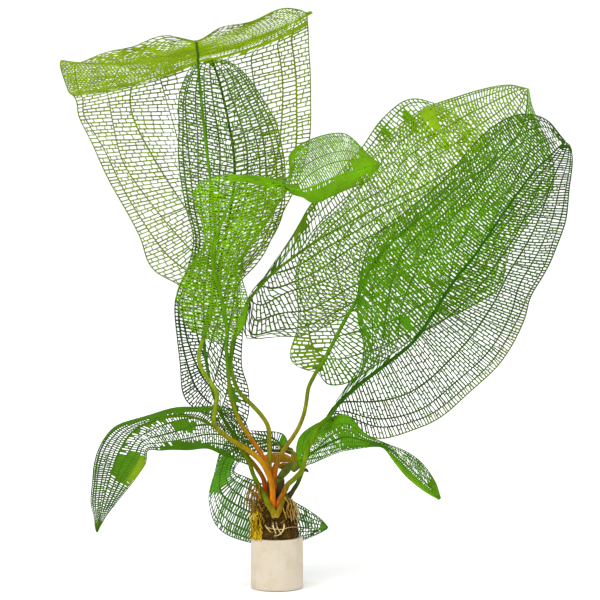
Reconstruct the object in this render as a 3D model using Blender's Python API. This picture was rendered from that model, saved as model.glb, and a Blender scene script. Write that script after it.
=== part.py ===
"""Madagascar lace plant: nine net-veined leaves on a rhizome, potted in a fibre plug in a ceramic holder.

The origin is the centre of the holder's flat underside, +Z is up and -Y faces the viewer.
"""

import math

import bmesh
import bpy
from mathutils import Vector, noise

MM = 0.001
GAP = 0.35

# Holder, plug, rhizome and roots, in millimetres
HOLDER_RADIUS = 13.0
HOLDER_HEIGHT = 25.0
HOLDER_WALL = 3.2
HOLDER_FLOOR = 3.0
HOLDER_EDGE = 0.5
HOLDER_SIDES = 40
PLUG_TOP = 31.0
RHIZOME_RADIUS = 8.4
RHIZOME_TOP = 43.0
RHIZOME_SEGMENTS, RHIZOME_RINGS = 18, 12
RHIZOME_LUMP, RHIZOME_LUMPS_ACROSS = 0.16, 2.6
RHIZOME_OVERSHOOT = 1.24
ROOT_MAT_TOP = 41.0
ROOT_MAT_OUTER = 13.2
ROOT_MAT_THIN = 0.8
ROOT_MAT_FROM, ROOT_MAT_TO = 105.0, 285.0
ROOT_MAT_SECTIONS, ROOT_MAT_LEVELS = 20, 6
ROOT_MAT_LUMP, ROOT_MAT_LUMPS_ROUND, ROOT_MAT_LUMPS_UP = 0.18, 3, 4

# Leaf stalks and blades, in millimetres
CROWN_RING = 5.2
STALK_BASE = 43.7
STALK_RADIUS_LOW = 1.5
STALK_RADIUS_FULL = 1.65
STALK_RADIUS_TOP = 1.1
STALK_STEP = 5.0
BLADE_THICKNESS = 0.5
RIB_HALF_WIDTH = 1.1
RIB_EXTRA_BASE, RIB_EXTRA_TIP = 0.9, 0.1
RIB_MOST_SHARE = 0.2
BLADE_COLUMNS = (-1.0, -0.66, -0.33, 0.33, 0.66, 1.0)
BLADE_STEP = 0.01
RIGHT_RUFFLE_PHASE = 2.0

# The eye that the leaf points are read from: across, distance and height in millimetres
EYE_ACROSS, EYE_DISTANCE, EYE_HEIGHT = 11.5, 800.0, 143.5

# Each leaf has its angle on the crown ring, the points of its stalk between the crown and the blade,
# and its blade's stations from base to tip: left margin, midrib and right margin.
# A point is (across, height, depth) in millimetres: where it shows on the upright plane through the
# holder's axis, and how far behind that plane it lies.
LEAVES = {
    "floating_leaf": {
        "crown_angle": 260,
        "rows": 20,
        "camber": (0.05, 0.05),
        "ruffle": (1.2, 7.0),
        "stalk": [
            (-1.4, 47, -7.6), (-2.7, 53.5, -9.8), (-7.7, 62.5, -12.5), (-15.3, 69, -14.2), (-23.5, 74, -14.8),
            (-31, 80.5, -14.3), (-31.2, 87.5, -13.6), (-30, 95, -12.8), (-32, 100.5, -12),
            (-37.5, 108.5, -10.6), (-39.2, 115.5, -9.8), (-37.5, 122.5, -8.6), (-34.5, 131, -6.6),
        ],
        "stations": [
            ((-34, 138, -4), (-32.5, 138, -4), (-31, 138, -4)),
            ((-48, 150, -2), (-32.5, 149.5, -5), (-18, 153, -2)),
            ((-62, 159, 2), (-31.5, 162.5, -6), (-6.5, 166.5, -1)),
            ((-69, 175, 8), (-31, 179.5, -5), (2.5, 186, -2)),
            ((-82.5, 201, 11), (-33, 201, -5), (11, 203.5, -3)),
            ((-92.5, 221, 13), (-35.5, 221, -4), (16.5, 224.5, -4)),
            ((-98.5, 234.5, 13), (-37.5, 240, -2), (17, 248, -6)),
            ((-101, 243.5, 9), (-39.2, 258, -2), (16, 272, -9)),
            ((-105, 250, -3), (-39.5, 264, -10), (15.5, 284.5, -16)),
            ((-108.2, 262, -18), (-39.7, 267, -25), (17, 288, -26)),
            ((-98, 264.5, -30), (-40, 269, -37), (4, 288, -37)),
            ((-73, 272.5, -42), (-40.2, 271, -47), (-14, 283.5, -46)),
            ((-52, 273.5, -51), (-40.4, 272.5, -53), (-29, 278.5, -52)),
            ((-41.5, 273, -56), (-40.5, 273, -56), (-39.5, 273, -56)),
        ],
    },
    "tall_leaf": {
        "crown_angle": 170,
        "rows": 20,
        "camber": (0.08, 0.06),
        "ruffle": (0.9, 8.0),
        "stalk": [(-7, 48, 1.2), (-8.6, 55.2, 2.9), (-12.4, 61.3, 5.2), (-17, 67, 7.3)],
        "stations": [
            ((-21.5, 74.5, 9.3), (-21, 75, 9.3), (-20, 75.5, 9.3)),
            ((-33, 84, 11), (-27.2, 85, 10), (-14.5, 85, 9)),
            ((-45.5, 93.5, 14), (-31.8, 96.5, 11), (-14, 98, 10)),
            ((-48.5, 109.5, 16), (-34.8, 109.5, 12), (-17.5, 110.5, 11)),
            ((-50, 126, 16), (-36.5, 126, 13), (-17, 127, 11)),
            ((-51, 143.5, 16), (-33.5, 141, 14), (-18, 143.5, 13)),
            ((-45, 158.5, 15), (-30, 156, 14), (-17, 156, 15)),
            ((-42, 173.5, 15), (-26, 173.5, 13), (-4, 172, 18)),
            ((-45.5, 190, 16), (-23, 190, 12), (3.5, 188.5, 19)),
            ((-48.5, 204.5, 16), (-21.2, 205, 11), (4, 204.5, 19)),
            ((-49.3, 219, 16), (-21.8, 218.5, 10), (3, 219, 18)),
            ((-49.3, 232, 15), (-24, 231, 9), (-0.5, 231.5, 16)),
            ((-48.7, 246, 13), (-26.8, 244.5, 8), (-9, 247.5, 14)),
            ((-45.5, 256, 10), (-29.5, 255, 7), (-16.5, 257, 11)),
            ((-40, 262.7, 7), (-31.7, 261, 6), (-24.5, 263, 8)),
            ((-34, 264.5, 6), (-32.8, 264.8, 6), (-31.5, 264.5, 6)),
        ],
    },
    "folded_leaf": {
        "crown_angle": None,
        "rows": 22,
        "camber": (0.10, 0.10),
        "ruffle": (0.9, 6.0),
        "stalk": [
            (-1.2, 49.5, -2.2), (-4.2, 57.5, -5), (-7.7, 66, -7.8), (-12.6, 73.5, -9.4), (-17.6, 81, -10.2),
            (-21, 88.3, -10.4), (-23.3, 96, -10.3), (-24.2, 105, -10.2), (-24.9, 114, -10),
        ],
        "stations": [
            ((-27, 121, -10), (-25.5, 121, -10), (-24, 121, -10)),
            ((-43.5, 129.5, -11), (-25, 128.5, -13), (-17, 129.5, -12)),
            ((-50.5, 143.5, -13), (-27.5, 143.5, -17), (-14.5, 142.5, -14)),
            ((-45, 158.5, -17), (-31.5, 158.5, -22), (-18, 158.5, -19)),
            ((-37, 171, -22), (-31, 172, -26), (-13.5, 170, -23)),
            ((-38, 184.5, -25), (-26.5, 185.5, -30), (-4, 183.5, -27)),
            ((-42, 197, -27), (-20.5, 197.5, -34), (3.5, 195.5, -31)),
            ((-32, 204.5, -32), (-15.5, 203.5, -38), (5.5, 199, -34)),
            ((-9.5, 205, -31), (-3.5, 201.5, -35), (7.5, 197, -34)),
            ((5.5, 205.5, -28), (9.5, 198.5, -33), (13, 194.5, -33)),
            ((6.5, 216, -22), (18.5, 200.5, -31), (18.5, 192, -32)),
            ((17.5, 224.5, -20), (28, 204.5, -30), (28, 195.5, -31)),
            ((33, 226.5, -20), (36.5, 207.5, -29), (37.5, 199.5, -30)),
            ((43.5, 218.5, -22), (44.5, 210, -28), (45.5, 203.5, -28)),
            ((50, 212.5, -25), (51, 212, -25), (51.5, 211, -25)),
        ],
    },
    "broad_leaf": {
        "crown_angle": 305,
        "rows": 20,
        "camber": (0.10, 0.06),
        "ruffle": (1.2, 7.0),
        "stalk": [
            (2.9, 46.5, -5.6), (5, 50.8, -8.2), (8.8, 54.2, -11), (12.3, 58.2, -13.6), (13.8, 63.5, -15.4),
            (15.2, 68.6, -16.5), (18, 74.5, -17.2), (21.5, 80.8, -16.4),
        ],
        "stations": [
            ((24, 84.5, -14), (25, 84, -14), (26, 83.5, -14)),
            ((29.5, 92.5, -15), (31.5, 92.5, -14), (36.5, 89, -6)),
            ((36, 103, -17), (41.5, 101.5, -15), (53, 74.5, -2)),
            ((42, 111.5, -19), (54, 111, -17), (74, 80.5, -4)),
            ((43, 121, -22), (67.5, 122, -20), (92, 93.5, -8)),
            ((40.5, 134.5, -27), (76.5, 134, -23), (109.5, 109.5, -12)),
            ((40.5, 151, -31), (87.5, 151.5, -26), (122, 128.5, -16)),
            ((47.5, 173.5, -34), (99, 166, -28), (129.5, 147.5, -20)),
            ((64, 188, -35), (107.5, 178.5, -30), (138, 164.5, -22)),
            ((81.5, 202, -35), (116.5, 191.5, -31), (143.5, 181, -24)),
            ((101.5, 225, -34), (127.5, 206.5, -32), (146.5, 198.5, -28)),
            ((119, 236, -33), (136.5, 215.5, -33), (147.5, 211, -31)),
            ((134, 234, -33), (141.5, 220.5, -33), (147.5, 218.5, -32)),
            ((143.5, 223.5, -33), (144.5, 222.5, -33), (146, 221.5, -33)),
        ],
    },
    "middle_leaf": {
        "crown_angle": 80,
        "rows": 20,
        "camber": (0.08, 0.06),
        "ruffle": (1.4, 7.0),
        "stalk": [
            (0, 50, 5.8), (-0.5, 57, 5.6), (0.9, 63.5, 4.4), (4, 69.5, 3.1), (7.8, 74.7, 2), (11.2, 80.5, 0.9),
            (13.6, 87, -0.1), (14.8, 93.5, -1.1), (15.9, 100, -2),
        ],
        "stations": [
            ((18.5, 107.5, -3), (19.5, 107.3, -3), (20.5, 107, -3)),
            ((11.5, 109.5, 0), (23, 112.5, -3), (26, 101, 0)),
            ((6.5, 115, 3), (27.5, 121, -3), (37, 103, 1)),
            ((10, 128.5, 5), (34, 133.5, -3), (54, 113.5, 2)),
            ((10, 146, 7), (40.5, 145, -4), (68, 124.5, 3)),
            ((10.5, 162.5, 8), (46.5, 159.5, -4), (81.5, 132.5, 3)),
            ((17.5, 175.5, 9), (57.5, 172.5, -4), (96.5, 140, 2)),
            ((29, 187.5, 9), (69, 182.5, -4), (111.5, 149.5, 1)),
            ((37.5, 198.5, 9), (81.5, 192, -4), (115.5, 166, 0)),
            ((43, 214, 9), (94, 203, -4), (126.5, 182.5, -2)),
            ((54.5, 225.5, 8), (106.5, 210.5, -5), (137, 197.5, -6)),
            ((74, 239.5, 5), (115.5, 219.5, -6), (138.5, 211, -9)),
            ((94, 246.5, 2), (122.5, 229.5, -7), (134, 226, -10)),
            ((114, 251, -2), (125, 241, -8), (128.5, 237.5, -10)),
            ((124, 249.5, -7), (125, 249.5, -8), (126, 249, -8)),
        ],
    },
    "rear_leaf": {
        "crown_angle": 125,
        "rows": 18,
        "camber": (0.06, 0.06),
        "ruffle": (1.0, 6.0),
        "stalk": [
            (-3.5, 50, 3.2), (-3.7, 57.5, 1.9), (-3.7, 65, 1), (-3.8, 73, 0.6), (-4.4, 80, 0.3),
            (-7.8, 85.8, 0.2), (-13, 91.5, 0.3), (-18.5, 97, 0.6), (-21.4, 103, 1), (-23, 111, 2),
            (-22.6, 120, 3.6), (-19.8, 129.5, 5.6), (-17, 136.5, 7.2),
        ],
        "stations": [
            ((-15.5, 142.5, 8), (-15, 142, 8), (-14.8, 141, 8)),
            ((-11.5, 149.5, 10), (-10.5, 148, 9), (-17, 130.5, 17)),
            ((-4, 158.5, 14), (-2, 157, 12), (-14, 123.5, 20)),
            ((4.5, 171, 18), (9, 165.5, 16), (-1, 125, 21)),
            ((11, 181.5, 21), (20.5, 173.5, 19), (15.5, 126.5, 23)),
            ((17, 191.5, 23), (34, 181, 21), (37.5, 137.5, 24)),
            ((29, 205, 25), (47.5, 188.5, 23), (54, 148.5, 26)),
            ((42, 219.5, 26), (61.5, 195, 24), (69, 162.5, 27)),
            ((51.5, 233, 26), (75, 201.5, 25), (81.5, 179.5, 27)),
            ((64.5, 243.5, 26), (86.5, 208.5, 25), (95, 192.5, 26)),
            ((77, 242.5, 26), (98, 214, 25), (104, 203.5, 25)),
            ((95, 232, 25), (106, 217, 25), (109, 213, 25)),
            ((109, 219, 24), (110, 218.5, 24), (110.5, 218, 24)),
        ],
    },
    "left_arching_leaf": {
        "crown_angle": 215,
        "rows": 16,
        "camber": (0.12, 0.08),
        "ruffle": (0.5, 7.0),
        "stalk": [(-6.6, 47.5, -4.9), (-9.4, 53, -6.2), (-11.3, 57, -6.9)],
        "stations": [
            ((-14, 62.5, -7), (-13.5, 61.5, -7), (-13, 60.5, -7)),
            ((-14.5, 79.5, -2), (-19.5, 70.5, -6), (-23.5, 64.5, -10)),
            ((-22, 88.5, -1), (-30.5, 79.5, -6), (-34.5, 69, -12)),
            ((-35.5, 90.5, -1), (-42.5, 85, -8), (-45.5, 68.5, -15)),
            ((-52.5, 89, -3), (-57, 84.5, -11), (-57, 68.5, -19)),
            ((-74.5, 83, -8), (-71, 78.5, -15), (-64.5, 68, -22)),
            ((-86, 75.5, -13), (-78.5, 68.5, -19), (-66, 61, -24)),
            ((-91.5, 61, -17), (-82.5, 58, -22), (-72, 52.5, -24)),
            ((-93, 45, -19), (-86.5, 44.5, -23), (-79.5, 43, -24)),
            ((-91.5, 33.5, -21), (-88.5, 34.5, -23), (-86, 34.5, -23)),
            ((-90.5, 27.5, -22), (-90, 27.5, -22), (-89.5, 27.5, -22)),
        ],
    },
    "right_arching_leaf": {
        "crown_angle": 350,
        "rows": 16,
        "camber": (0.10, 0.08),
        "ruffle": (0.4, 5.0),
        "stalk": [(7.4, 47.5, -1.5), (10.3, 51.8, -2.4)],
        "stations": [
            ((12, 58, -3.3), (12.5, 57.5, -3.3), (13, 57, -3.3)),
            ((10, 65, -4), (13.8, 63, -5), (14.5, 60.5, -7)),
            ((9.8, 70.5, -4), (17, 66.8, -6.5), (18.5, 61.8, -10)),
            ((13, 77, -5), (22.5, 70, -9), (25, 65, -13)),
            ((22.5, 83, -8), (28.5, 73, -13), (30, 66.8, -16)),
            ((35, 86, -15), (35, 75, -18), (35.5, 68.3, -19)),
            ((44, 76.8, -21), (44, 73, -21), (43.5, 69.5, -21)),
            ((53.5, 72.5, -25), (53.5, 70.5, -24), (52, 70, -22)),
            ((63, 68.5, -27), (61.5, 64.3, -24), (58, 63.3, -22)),
            ((72.5, 62.3, -28), (69, 57.2, -25), (65.5, 54.5, -23)),
            ((78.8, 53.5, -28), (76, 50.5, -26), (73, 48.3, -25)),
            ((82, 44.5, -27), (81.5, 44, -27), (81, 43.5, -27)),
        ],
    },
    "curled_leaf": {
        "crown_angle": 35,
        "rows": 20,
        "camber": (0.08, 0.08),
        "ruffle": (0.4, 6.0),
        "stalk": [(6, 49, 5.8), (9.2, 56, 10), (10.6, 62, 14.5), (9, 66.5, 17.5)],
        "stations": [
            ((6, 69, 19), (6.5, 68, 19), (6, 67, 19)),
            ((3, 76.5, 22), (-0.5, 72, 23), (-0.5, 67.5, 23)),
            ((-7.5, 78, 27), (-9.5, 73, 27), (-9.5, 67, 25)),
            ((-17, 77.5, 29), (-18.5, 71, 28), (-16.5, 64.5, 24)),
            ((-27.5, 70, 28), (-25.5, 64.5, 24), (-20.5, 60.5, 20)),
            ((-31.5, 56, 25), (-28.5, 54.5, 20), (-21, 57.5, 15)),
            ((-34, 42, 22), (-27.5, 46.5, 16), (-17, 55.5, 12)),
            ((-29.5, 29.5, 20), (-19.5, 40.5, 17), (-9.5, 52.5, 14)),
            ((-17, 23, 20), (-7.5, 35, 19), (0.5, 48.5, 17)),
            ((-1, 20.5, 21), (4, 31.5, 20), (7.5, 43.5, 18)),
            ((12.5, 23, 20), (14, 29.5, 19), (15.5, 38.5, 17)),
            ((20.5, 26.5, 18), (20.5, 29.5, 18), (21.5, 34.5, 17)),
            ((25, 29, 17), (25.5, 29.5, 17), (25.5, 30, 17)),
        ],
    },
}

# Materials: colour, roughness
MATERIALS = {
    "ceramic": ((0.83, 0.78, 0.70), 0.75),
    "plug_fibre": ((0.16, 0.09, 0.03), 0.95),
    "rhizome": ((0.20, 0.11, 0.04), 0.85),
    "root_fibre": ((0.55, 0.38, 0.08), 0.90),
    "stalk": ((0.38, 0.30, 0.03), 0.45),
    "blade": ((0.16, 0.38, 0.03), 0.45),
}


def clear_scene():
    for obj in list(bpy.data.objects):
        bpy.data.objects.remove(obj)


def material(name):
    """The named Principled material, made once."""
    found = bpy.data.materials.get(name)
    if found:
        return found
    colour, roughness = MATERIALS[name]
    made = bpy.data.materials.new(name)
    made.use_nodes = True
    shader = made.node_tree.nodes["Principled BSDF"]
    shader.inputs["Base Color"].default_value = (*colour, 1.0)
    shader.inputs["Roughness"].default_value = roughness
    return made


def add_object(name, data, slot):
    obj = bpy.data.objects.new(name, data)
    bpy.context.scene.collection.objects.link(obj)
    data.materials.append(material(slot))
    return obj


def add_bmesh(name, bm, slot, smooth=True):
    bmesh.ops.recalc_face_normals(bm, faces=bm.faces)
    mesh = bpy.data.meshes.new(name)
    bm.to_mesh(mesh)
    bm.free()
    if smooth:
        mesh.shade_smooth()
        mesh.set_sharp_from_angle(angle=math.radians(40))
    return add_object(name, mesh, slot)


def placed(point):
    """A leaf point (across, height, depth) carried along the line of sight to its depth, in millimetres."""
    across, height, depth = point
    reach = (EYE_DISTANCE + depth) / EYE_DISTANCE
    return Vector((
        EYE_ACROSS + (across - EYE_ACROSS) * reach,
        depth,
        EYE_HEIGHT + (height - EYE_HEIGHT) * reach,
    ))


def spline(points, t):
    """The point at t, from 0 to 1, on the smooth curve through points."""
    spans = len(points) - 1
    place = min(max(t, 0.0), 1.0) * spans
    i = min(int(place), spans - 1)
    f = place - i
    b, c = points[i], points[i + 1]
    a = points[i - 1] if i > 0 else b * 2 - c
    d = points[i + 2] if i + 2 <= spans else c * 2 - b
    return (
        b * 2
        + (c - a) * f
        + (a * 2 - b * 5 + c * 4 - d) * f**2
        + (b * 3 - a - c * 3 + d) * f**3
    ) / 2


# Holder, plug, rhizome and roots


def make_holder():
    """A round ceramic cup: its outline is turned about the axis."""
    inner = HOLDER_RADIUS - HOLDER_WALL
    e = HOLDER_EDGE
    outline = [
        (0.0, 0.0), (HOLDER_RADIUS - e, 0.0), (HOLDER_RADIUS, e),
        (HOLDER_RADIUS, HOLDER_HEIGHT - e), (HOLDER_RADIUS - e, HOLDER_HEIGHT),
        (inner + e, HOLDER_HEIGHT), (inner, HOLDER_HEIGHT - e), (inner, HOLDER_FLOOR), (0.0, HOLDER_FLOOR),
    ]
    bm = bmesh.new()
    points = [bm.verts.new((r * MM, 0, z * MM)) for r, z in outline]
    edges = [bm.edges.new(pair) for pair in zip(points, points[1:])]
    bmesh.ops.spin(
        bm, geom=points + edges, axis=(0, 0, 1), cent=(0, 0, 0), steps=HOLDER_SIDES, angle=math.tau
    )
    bmesh.ops.remove_doubles(bm, verts=bm.verts, dist=1e-6)
    bmesh.ops.dissolve_degenerate(bm, edges=bm.edges, dist=1e-6)
    add_bmesh("ceramic_holder", bm, "ceramic")


def make_plug():
    """The fibre plug, from the holder's floor to a little over its rim."""
    low = HOLDER_FLOOR + GAP
    radius = HOLDER_RADIUS - HOLDER_WALL - GAP
    bm = bmesh.new()
    bmesh.ops.create_cone(
        bm, cap_ends=True, segments=HOLDER_SIDES // 2, radius1=radius * MM, radius2=radius * MM,
        depth=(PLUG_TOP - low) * MM,
    )
    bmesh.ops.translate(bm, verts=bm.verts, vec=(0, 0, (PLUG_TOP + low) / 2 * MM))
    add_bmesh("fibre_plug", bm, "plug_fibre")


def make_rhizome():
    """The lumpy rhizome: a sphere taller than its space, flat where that cuts it below and above."""
    low, high = PLUG_TOP + GAP, RHIZOME_TOP
    bm = bmesh.new()
    bmesh.ops.create_uvsphere(bm, u_segments=RHIZOME_SEGMENTS, v_segments=RHIZOME_RINGS, radius=1.0)
    for vert in bm.verts:
        lump = 1.0 + RHIZOME_LUMP * noise.noise(vert.co * RHIZOME_LUMPS_ACROSS)
        side = RHIZOME_RADIUS * lump
        height = (low + high) / 2 + vert.co.z * (high - low) / 2 * RHIZOME_OVERSHOOT * lump
        height = min(max(height, low), high)
        vert.co = Vector((vert.co.x * side, vert.co.y * side, height)) * MM
    add_bmesh("rhizome", bm, "rhizome")


def make_root_mat():
    """The mat of fine roots round the left and front of the rhizome, standing on the holder's rim."""
    inner = HOLDER_RADIUS - HOLDER_WALL + GAP
    low = HOLDER_HEIGHT + GAP
    bm = bmesh.new()
    sections = []
    for i in range(ROOT_MAT_SECTIONS + 1):
        share = i / ROOT_MAT_SECTIONS
        angle = math.radians(ROOT_MAT_FROM + (ROOT_MAT_TO - ROOT_MAT_FROM) * share)
        swell = math.sqrt(max(math.sin(math.pi * share), 0.0))
        outside, inside = [], []
        for k in range(ROOT_MAT_LEVELS + 1):
            up = k / ROOT_MAT_LEVELS
            across = Vector((math.cos(angle), math.sin(angle), 0)) * ROOT_MAT_LUMPS_ROUND
            rough = noise.noise(across + Vector((0, 0, ROOT_MAT_LUMPS_UP * up)))
            z = low + (ROOT_MAT_TOP - low) * (0.45 + 0.55 * swell) * up
            belly = (1 - 0.55 * up) * (0.35 + 0.65 * swell) + ROOT_MAT_LUMP * rough
            r = inner + ROOT_MAT_THIN + (ROOT_MAT_OUTER - inner) * max(belly, 0.1)
            outside.append(Vector((r * math.cos(angle), r * math.sin(angle), z)))
            inside.append(Vector((inner * math.cos(angle), inner * math.sin(angle), z)))
        ring = [bm.verts.new(p * MM) for p in outside + inside[::-1]]
        sections.append(ring)
    for one, two in zip(sections, sections[1:]):
        for k in range(len(one)):
            after = (k + 1) % len(one)
            bm.faces.new((one[k], two[k], two[after], one[after]))
    bm.faces.new(sections[0])
    bm.faces.new(sections[-1])
    add_bmesh("root_mat", bm, "root_fibre")


# Leaves


def crown_point(angle):
    """Where a stalk stands on the rhizome; the leaf with no angle stands in the middle."""
    if angle is None:
        return Vector((0, 0, STALK_BASE))
    turn = math.radians(angle)
    return Vector((CROWN_RING * math.cos(turn), CROWN_RING * math.sin(turn), STALK_BASE))


def stalk_radius(share):
    """Slim at the crown, full a little above it, and slender at the blade."""
    if share < 0.15:
        return STALK_RADIUS_LOW + (STALK_RADIUS_FULL - STALK_RADIUS_LOW) * share / 0.15
    return STALK_RADIUS_FULL + (STALK_RADIUS_TOP - STALK_RADIUS_FULL) * (share - 0.15) / 0.85


def make_stalk(name, leaf):
    """A round tapered stalk, from the crown to just short of the blade."""
    base = placed(leaf["stations"][0][1])
    route = [crown_point(leaf["crown_angle"])] + [placed(p) for p in leaf["stalk"]]
    route.append(base + (route[-1] - base).normalized() * (2 * GAP + RIB_HALF_WIDTH))
    length = sum((b - a).length for a, b in zip(route, route[1:]))
    steps = max(4, round(length / STALK_STEP))
    curve = bpy.data.curves.new(name, "CURVE")
    curve.dimensions = "3D"
    curve.bevel_depth = MM
    curve.bevel_resolution = 2
    curve.use_fill_caps = True
    line = curve.splines.new("POLY")
    line.points.add(steps)
    for i, point in enumerate(line.points):
        point.co = (*(spline(route, i / steps) * MM), 1.0)
        point.radius = stalk_radius(i / steps)
    add_object(name, curve, "stalk")


def blade_point(leaf, margins, u, v):
    """The point of the blade's middle surface at u across, from -1 to 1, and v along, from 0 to 1."""
    left, middle, right = (spline(line, v) for line in margins)
    edge, side = (left, 0) if u < 0 else (right, 1)
    along = spline(margins[1], v + BLADE_STEP) - spline(margins[1], v - BLADE_STEP)
    out = edge - middle
    facing = out.cross(along) if side else along.cross(out)
    facing = facing.normalized() if facing.length > 1e-9 else Vector((0, -1, 0))
    share = abs(u)
    bow = 4 * leaf["camber"][side] * out.length * share * (1 - share)
    height, waves = leaf["ruffle"]
    fade = 1 - (2 * v - 1) ** 6
    bow += height * share**3 * fade * math.sin(math.tau * waves * v + RIGHT_RUFFLE_PHASE * side)
    return middle + out * share + facing * bow


def make_blade(name, leaf):
    """A thin curved blade with a raised midrib, closed round its margin."""
    margins = [[placed(station[k]) for station in leaf["stations"]] for k in range(3)]
    rows = []
    for i in range(leaf["rows"] + 1):
        v = i / leaf["rows"]
        left, middle, right = (spline(line, v) for line in margins)
        half = min((left - middle).length, (right - middle).length)
        rib = min(RIB_MOST_SHARE, RIB_HALF_WIDTH / max(half, GAP))
        columns = [*BLADE_COLUMNS[:3], -rib, 0.0, rib, *BLADE_COLUMNS[3:]]
        rows.append([(blade_point(leaf, margins, u, v), u, v) for u in columns])
    bm = bmesh.new()
    front, back = [], []
    last_row, last_column = len(rows) - 1, len(rows[0]) - 1
    for i, row in enumerate(rows):
        front.append([])
        back.append([])
        for j, (point, u, v) in enumerate(row):
            across = row[min(j + 1, last_column)][0] - row[max(j - 1, 0)][0]
            along = rows[min(i + 1, last_row)][j][0] - rows[max(i - 1, 0)][j][0]
            normal = across.cross(along).normalized()
            half = BLADE_THICKNESS / 2
            if u == 0.0:
                half += (RIB_EXTRA_BASE + (RIB_EXTRA_TIP - RIB_EXTRA_BASE) * v) / 2
            front[-1].append(bm.verts.new((point + normal * half) * MM))
            back[-1].append(bm.verts.new((point - normal * half) * MM))
    for i in range(last_row):
        for j in range(last_column):
            for side in (front, back):
                bm.faces.new((side[i][j], side[i][j + 1], side[i + 1][j + 1], side[i + 1][j]))
    rim = [(0, j) for j in range(last_column)] + [(i, last_column) for i in range(last_row)]
    rim += [(last_row, j) for j in range(last_column, 0, -1)] + [(i, 0) for i in range(last_row, 0, -1)]
    for (i, j), (k, m) in zip(rim, rim[1:] + rim[:1]):
        bm.faces.new((front[i][j], front[k][m], back[k][m], back[i][j]))
    add_bmesh(name, bm, "blade")


def main():
    clear_scene()
    make_holder()
    make_plug()
    make_rhizome()
    make_root_mat()
    for name, leaf in LEAVES.items():
        make_stalk(name + "_stalk", leaf)
        make_blade(name + "_blade", leaf)


main()
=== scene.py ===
"""Looks of the Madagascar lace plant: nine leaves of open vein net, their stalks, the rhizome and the holder.

Places and sizes are in millimetres, as in the part's source, and become metres where a mesh is made.
"""

import math

import bpy
import numpy as np
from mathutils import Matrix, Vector, noise


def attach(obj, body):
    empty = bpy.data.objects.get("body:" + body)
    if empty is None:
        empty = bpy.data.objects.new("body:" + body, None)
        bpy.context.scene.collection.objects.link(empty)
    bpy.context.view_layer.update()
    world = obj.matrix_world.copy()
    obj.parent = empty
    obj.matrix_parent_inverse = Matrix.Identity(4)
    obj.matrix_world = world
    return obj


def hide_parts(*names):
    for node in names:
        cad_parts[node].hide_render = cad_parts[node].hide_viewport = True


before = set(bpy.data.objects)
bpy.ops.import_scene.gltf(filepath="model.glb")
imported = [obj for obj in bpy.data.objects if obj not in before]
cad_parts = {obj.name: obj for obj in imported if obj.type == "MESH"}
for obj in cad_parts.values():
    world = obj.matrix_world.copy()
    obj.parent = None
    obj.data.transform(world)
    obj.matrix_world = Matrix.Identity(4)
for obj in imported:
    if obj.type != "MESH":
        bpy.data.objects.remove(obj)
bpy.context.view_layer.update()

MM = 0.001
rng = np.random.default_rng(20)

# The eye that the leaf points are read from: across, distance and height
EYE_ACROSS, EYE_DISTANCE, EYE_HEIGHT = 11.5, 800.0, 143.5
LENS, SENSOR = 96.0, 36.0

# Holder, rhizome and crown
HOLDER_RADIUS = 13.0
HOLDER_HEIGHT = 25.0
HOLDER_WALL = 3.2
HOLDER_FLOOR = 3.0
HOLDER_EDGE = 0.7
HOLDER_SIDES = 144
# How many rings of points its underside, wall, bore and rounded edges have
FLAT_RINGS, WALL_RINGS, BORE_RINGS, ROUNDING_RINGS = 10, 40, 12, 5
# Radius and height of the ring where stalks at the back start
CROWN_RING = 5.2
STALK_BASE = 43.7

# The matted column on the holder: its radius on the right and on the left at each height
COLUMN_HEIGHTS = [25, 32.5, 40, 44, 48]
COLUMN_RIGHT = [10.2, 10.0, 8.8, 7.7, 6.7]
COLUMN_LEFT = [11.4, 11.4, 10.6, 8.8, 7.0]
# Strands end just under the holder's rim, and the plug is trimmed to the bore up to just over it
FIBRES_END, RIM_GAP = 24.6, 0.3
# The lumpy cores under the strands: heights from and to, the height of their domed top, and their lumps
PLUG_FROM_TO, RHIZOME_FROM_TO = (3.5, 33), (29, 46)
CORE_SIDES, CORE_RINGS, CORE_DOME = 96, 40, 3.5
LUMP_SCALE, SMALL_LUMP_SCALE, SMALL_LUMP_SHARE = 0.33, 0.9, 0.5
# Strands on the column: how many, the turns round it in degrees, the heights where they start, how far they
# hang, how far out they lie, how far they sweep sideways, radii, tints, and how far they wave sideways
MATTED_FIBRES = [
    (330, (0, 360), (30, 45), (4, 12), (-0.9, 0.3), 30, (0.12, 0.24), (0.1, 0.75), 7.0),
    (130, (-95, 20), (25.5, 36), (1, 7), (-0.7, 0.1), 12, (0.10, 0.20), (0.15, 0.7), 7.0),
]
TUFT_FIBRES = [
    (80, (172, 228), (31, 39.5), (6, 14), (-0.5, 1.6), 6, (0.13, 0.26), (0.0, 0.5), 3.0),
    (34, (178, 226), (34, 39.5), (2, 7), (0.4, 2.2), 10, (0.12, 0.22), (0.5, 1.0), 4.0),
    (26, (180, 236), (28, 34), (4, 9), (0.4, 1.8), 8, (0.10, 0.22), (0.1, 0.8), 3.0),
    (20, (205, 232), (27, 30), (2, 4.6), (1.4, 2.6), 6, (0.12, 0.22), (0.3, 0.9), 3.0),
]
CROWN_FIBRES = [
    (26, (-62, -5), (38, 45), (3, 8), (-0.3, 0.7), 24, (0.16, 0.30), (0.0, 0.55), 7.0),
    (9, (-60, -10), (38, 44), (4, 9), (0.2, 1.0), 24, (0.16, 0.26), (0.7, 0.95), 7.0),
    (90, (178, 238), (38, 49), (2, 7), (-0.8, 1.6), 34, (0.14, 0.30), (0.15, 0.65), 7.0),
]
# Points and sides of a strand, and how much thinner its ends are than its middle
FIBRE_STEPS, FIBRE_SIDES, FIBRE_TAPER = 9, 5, 0.6
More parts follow.
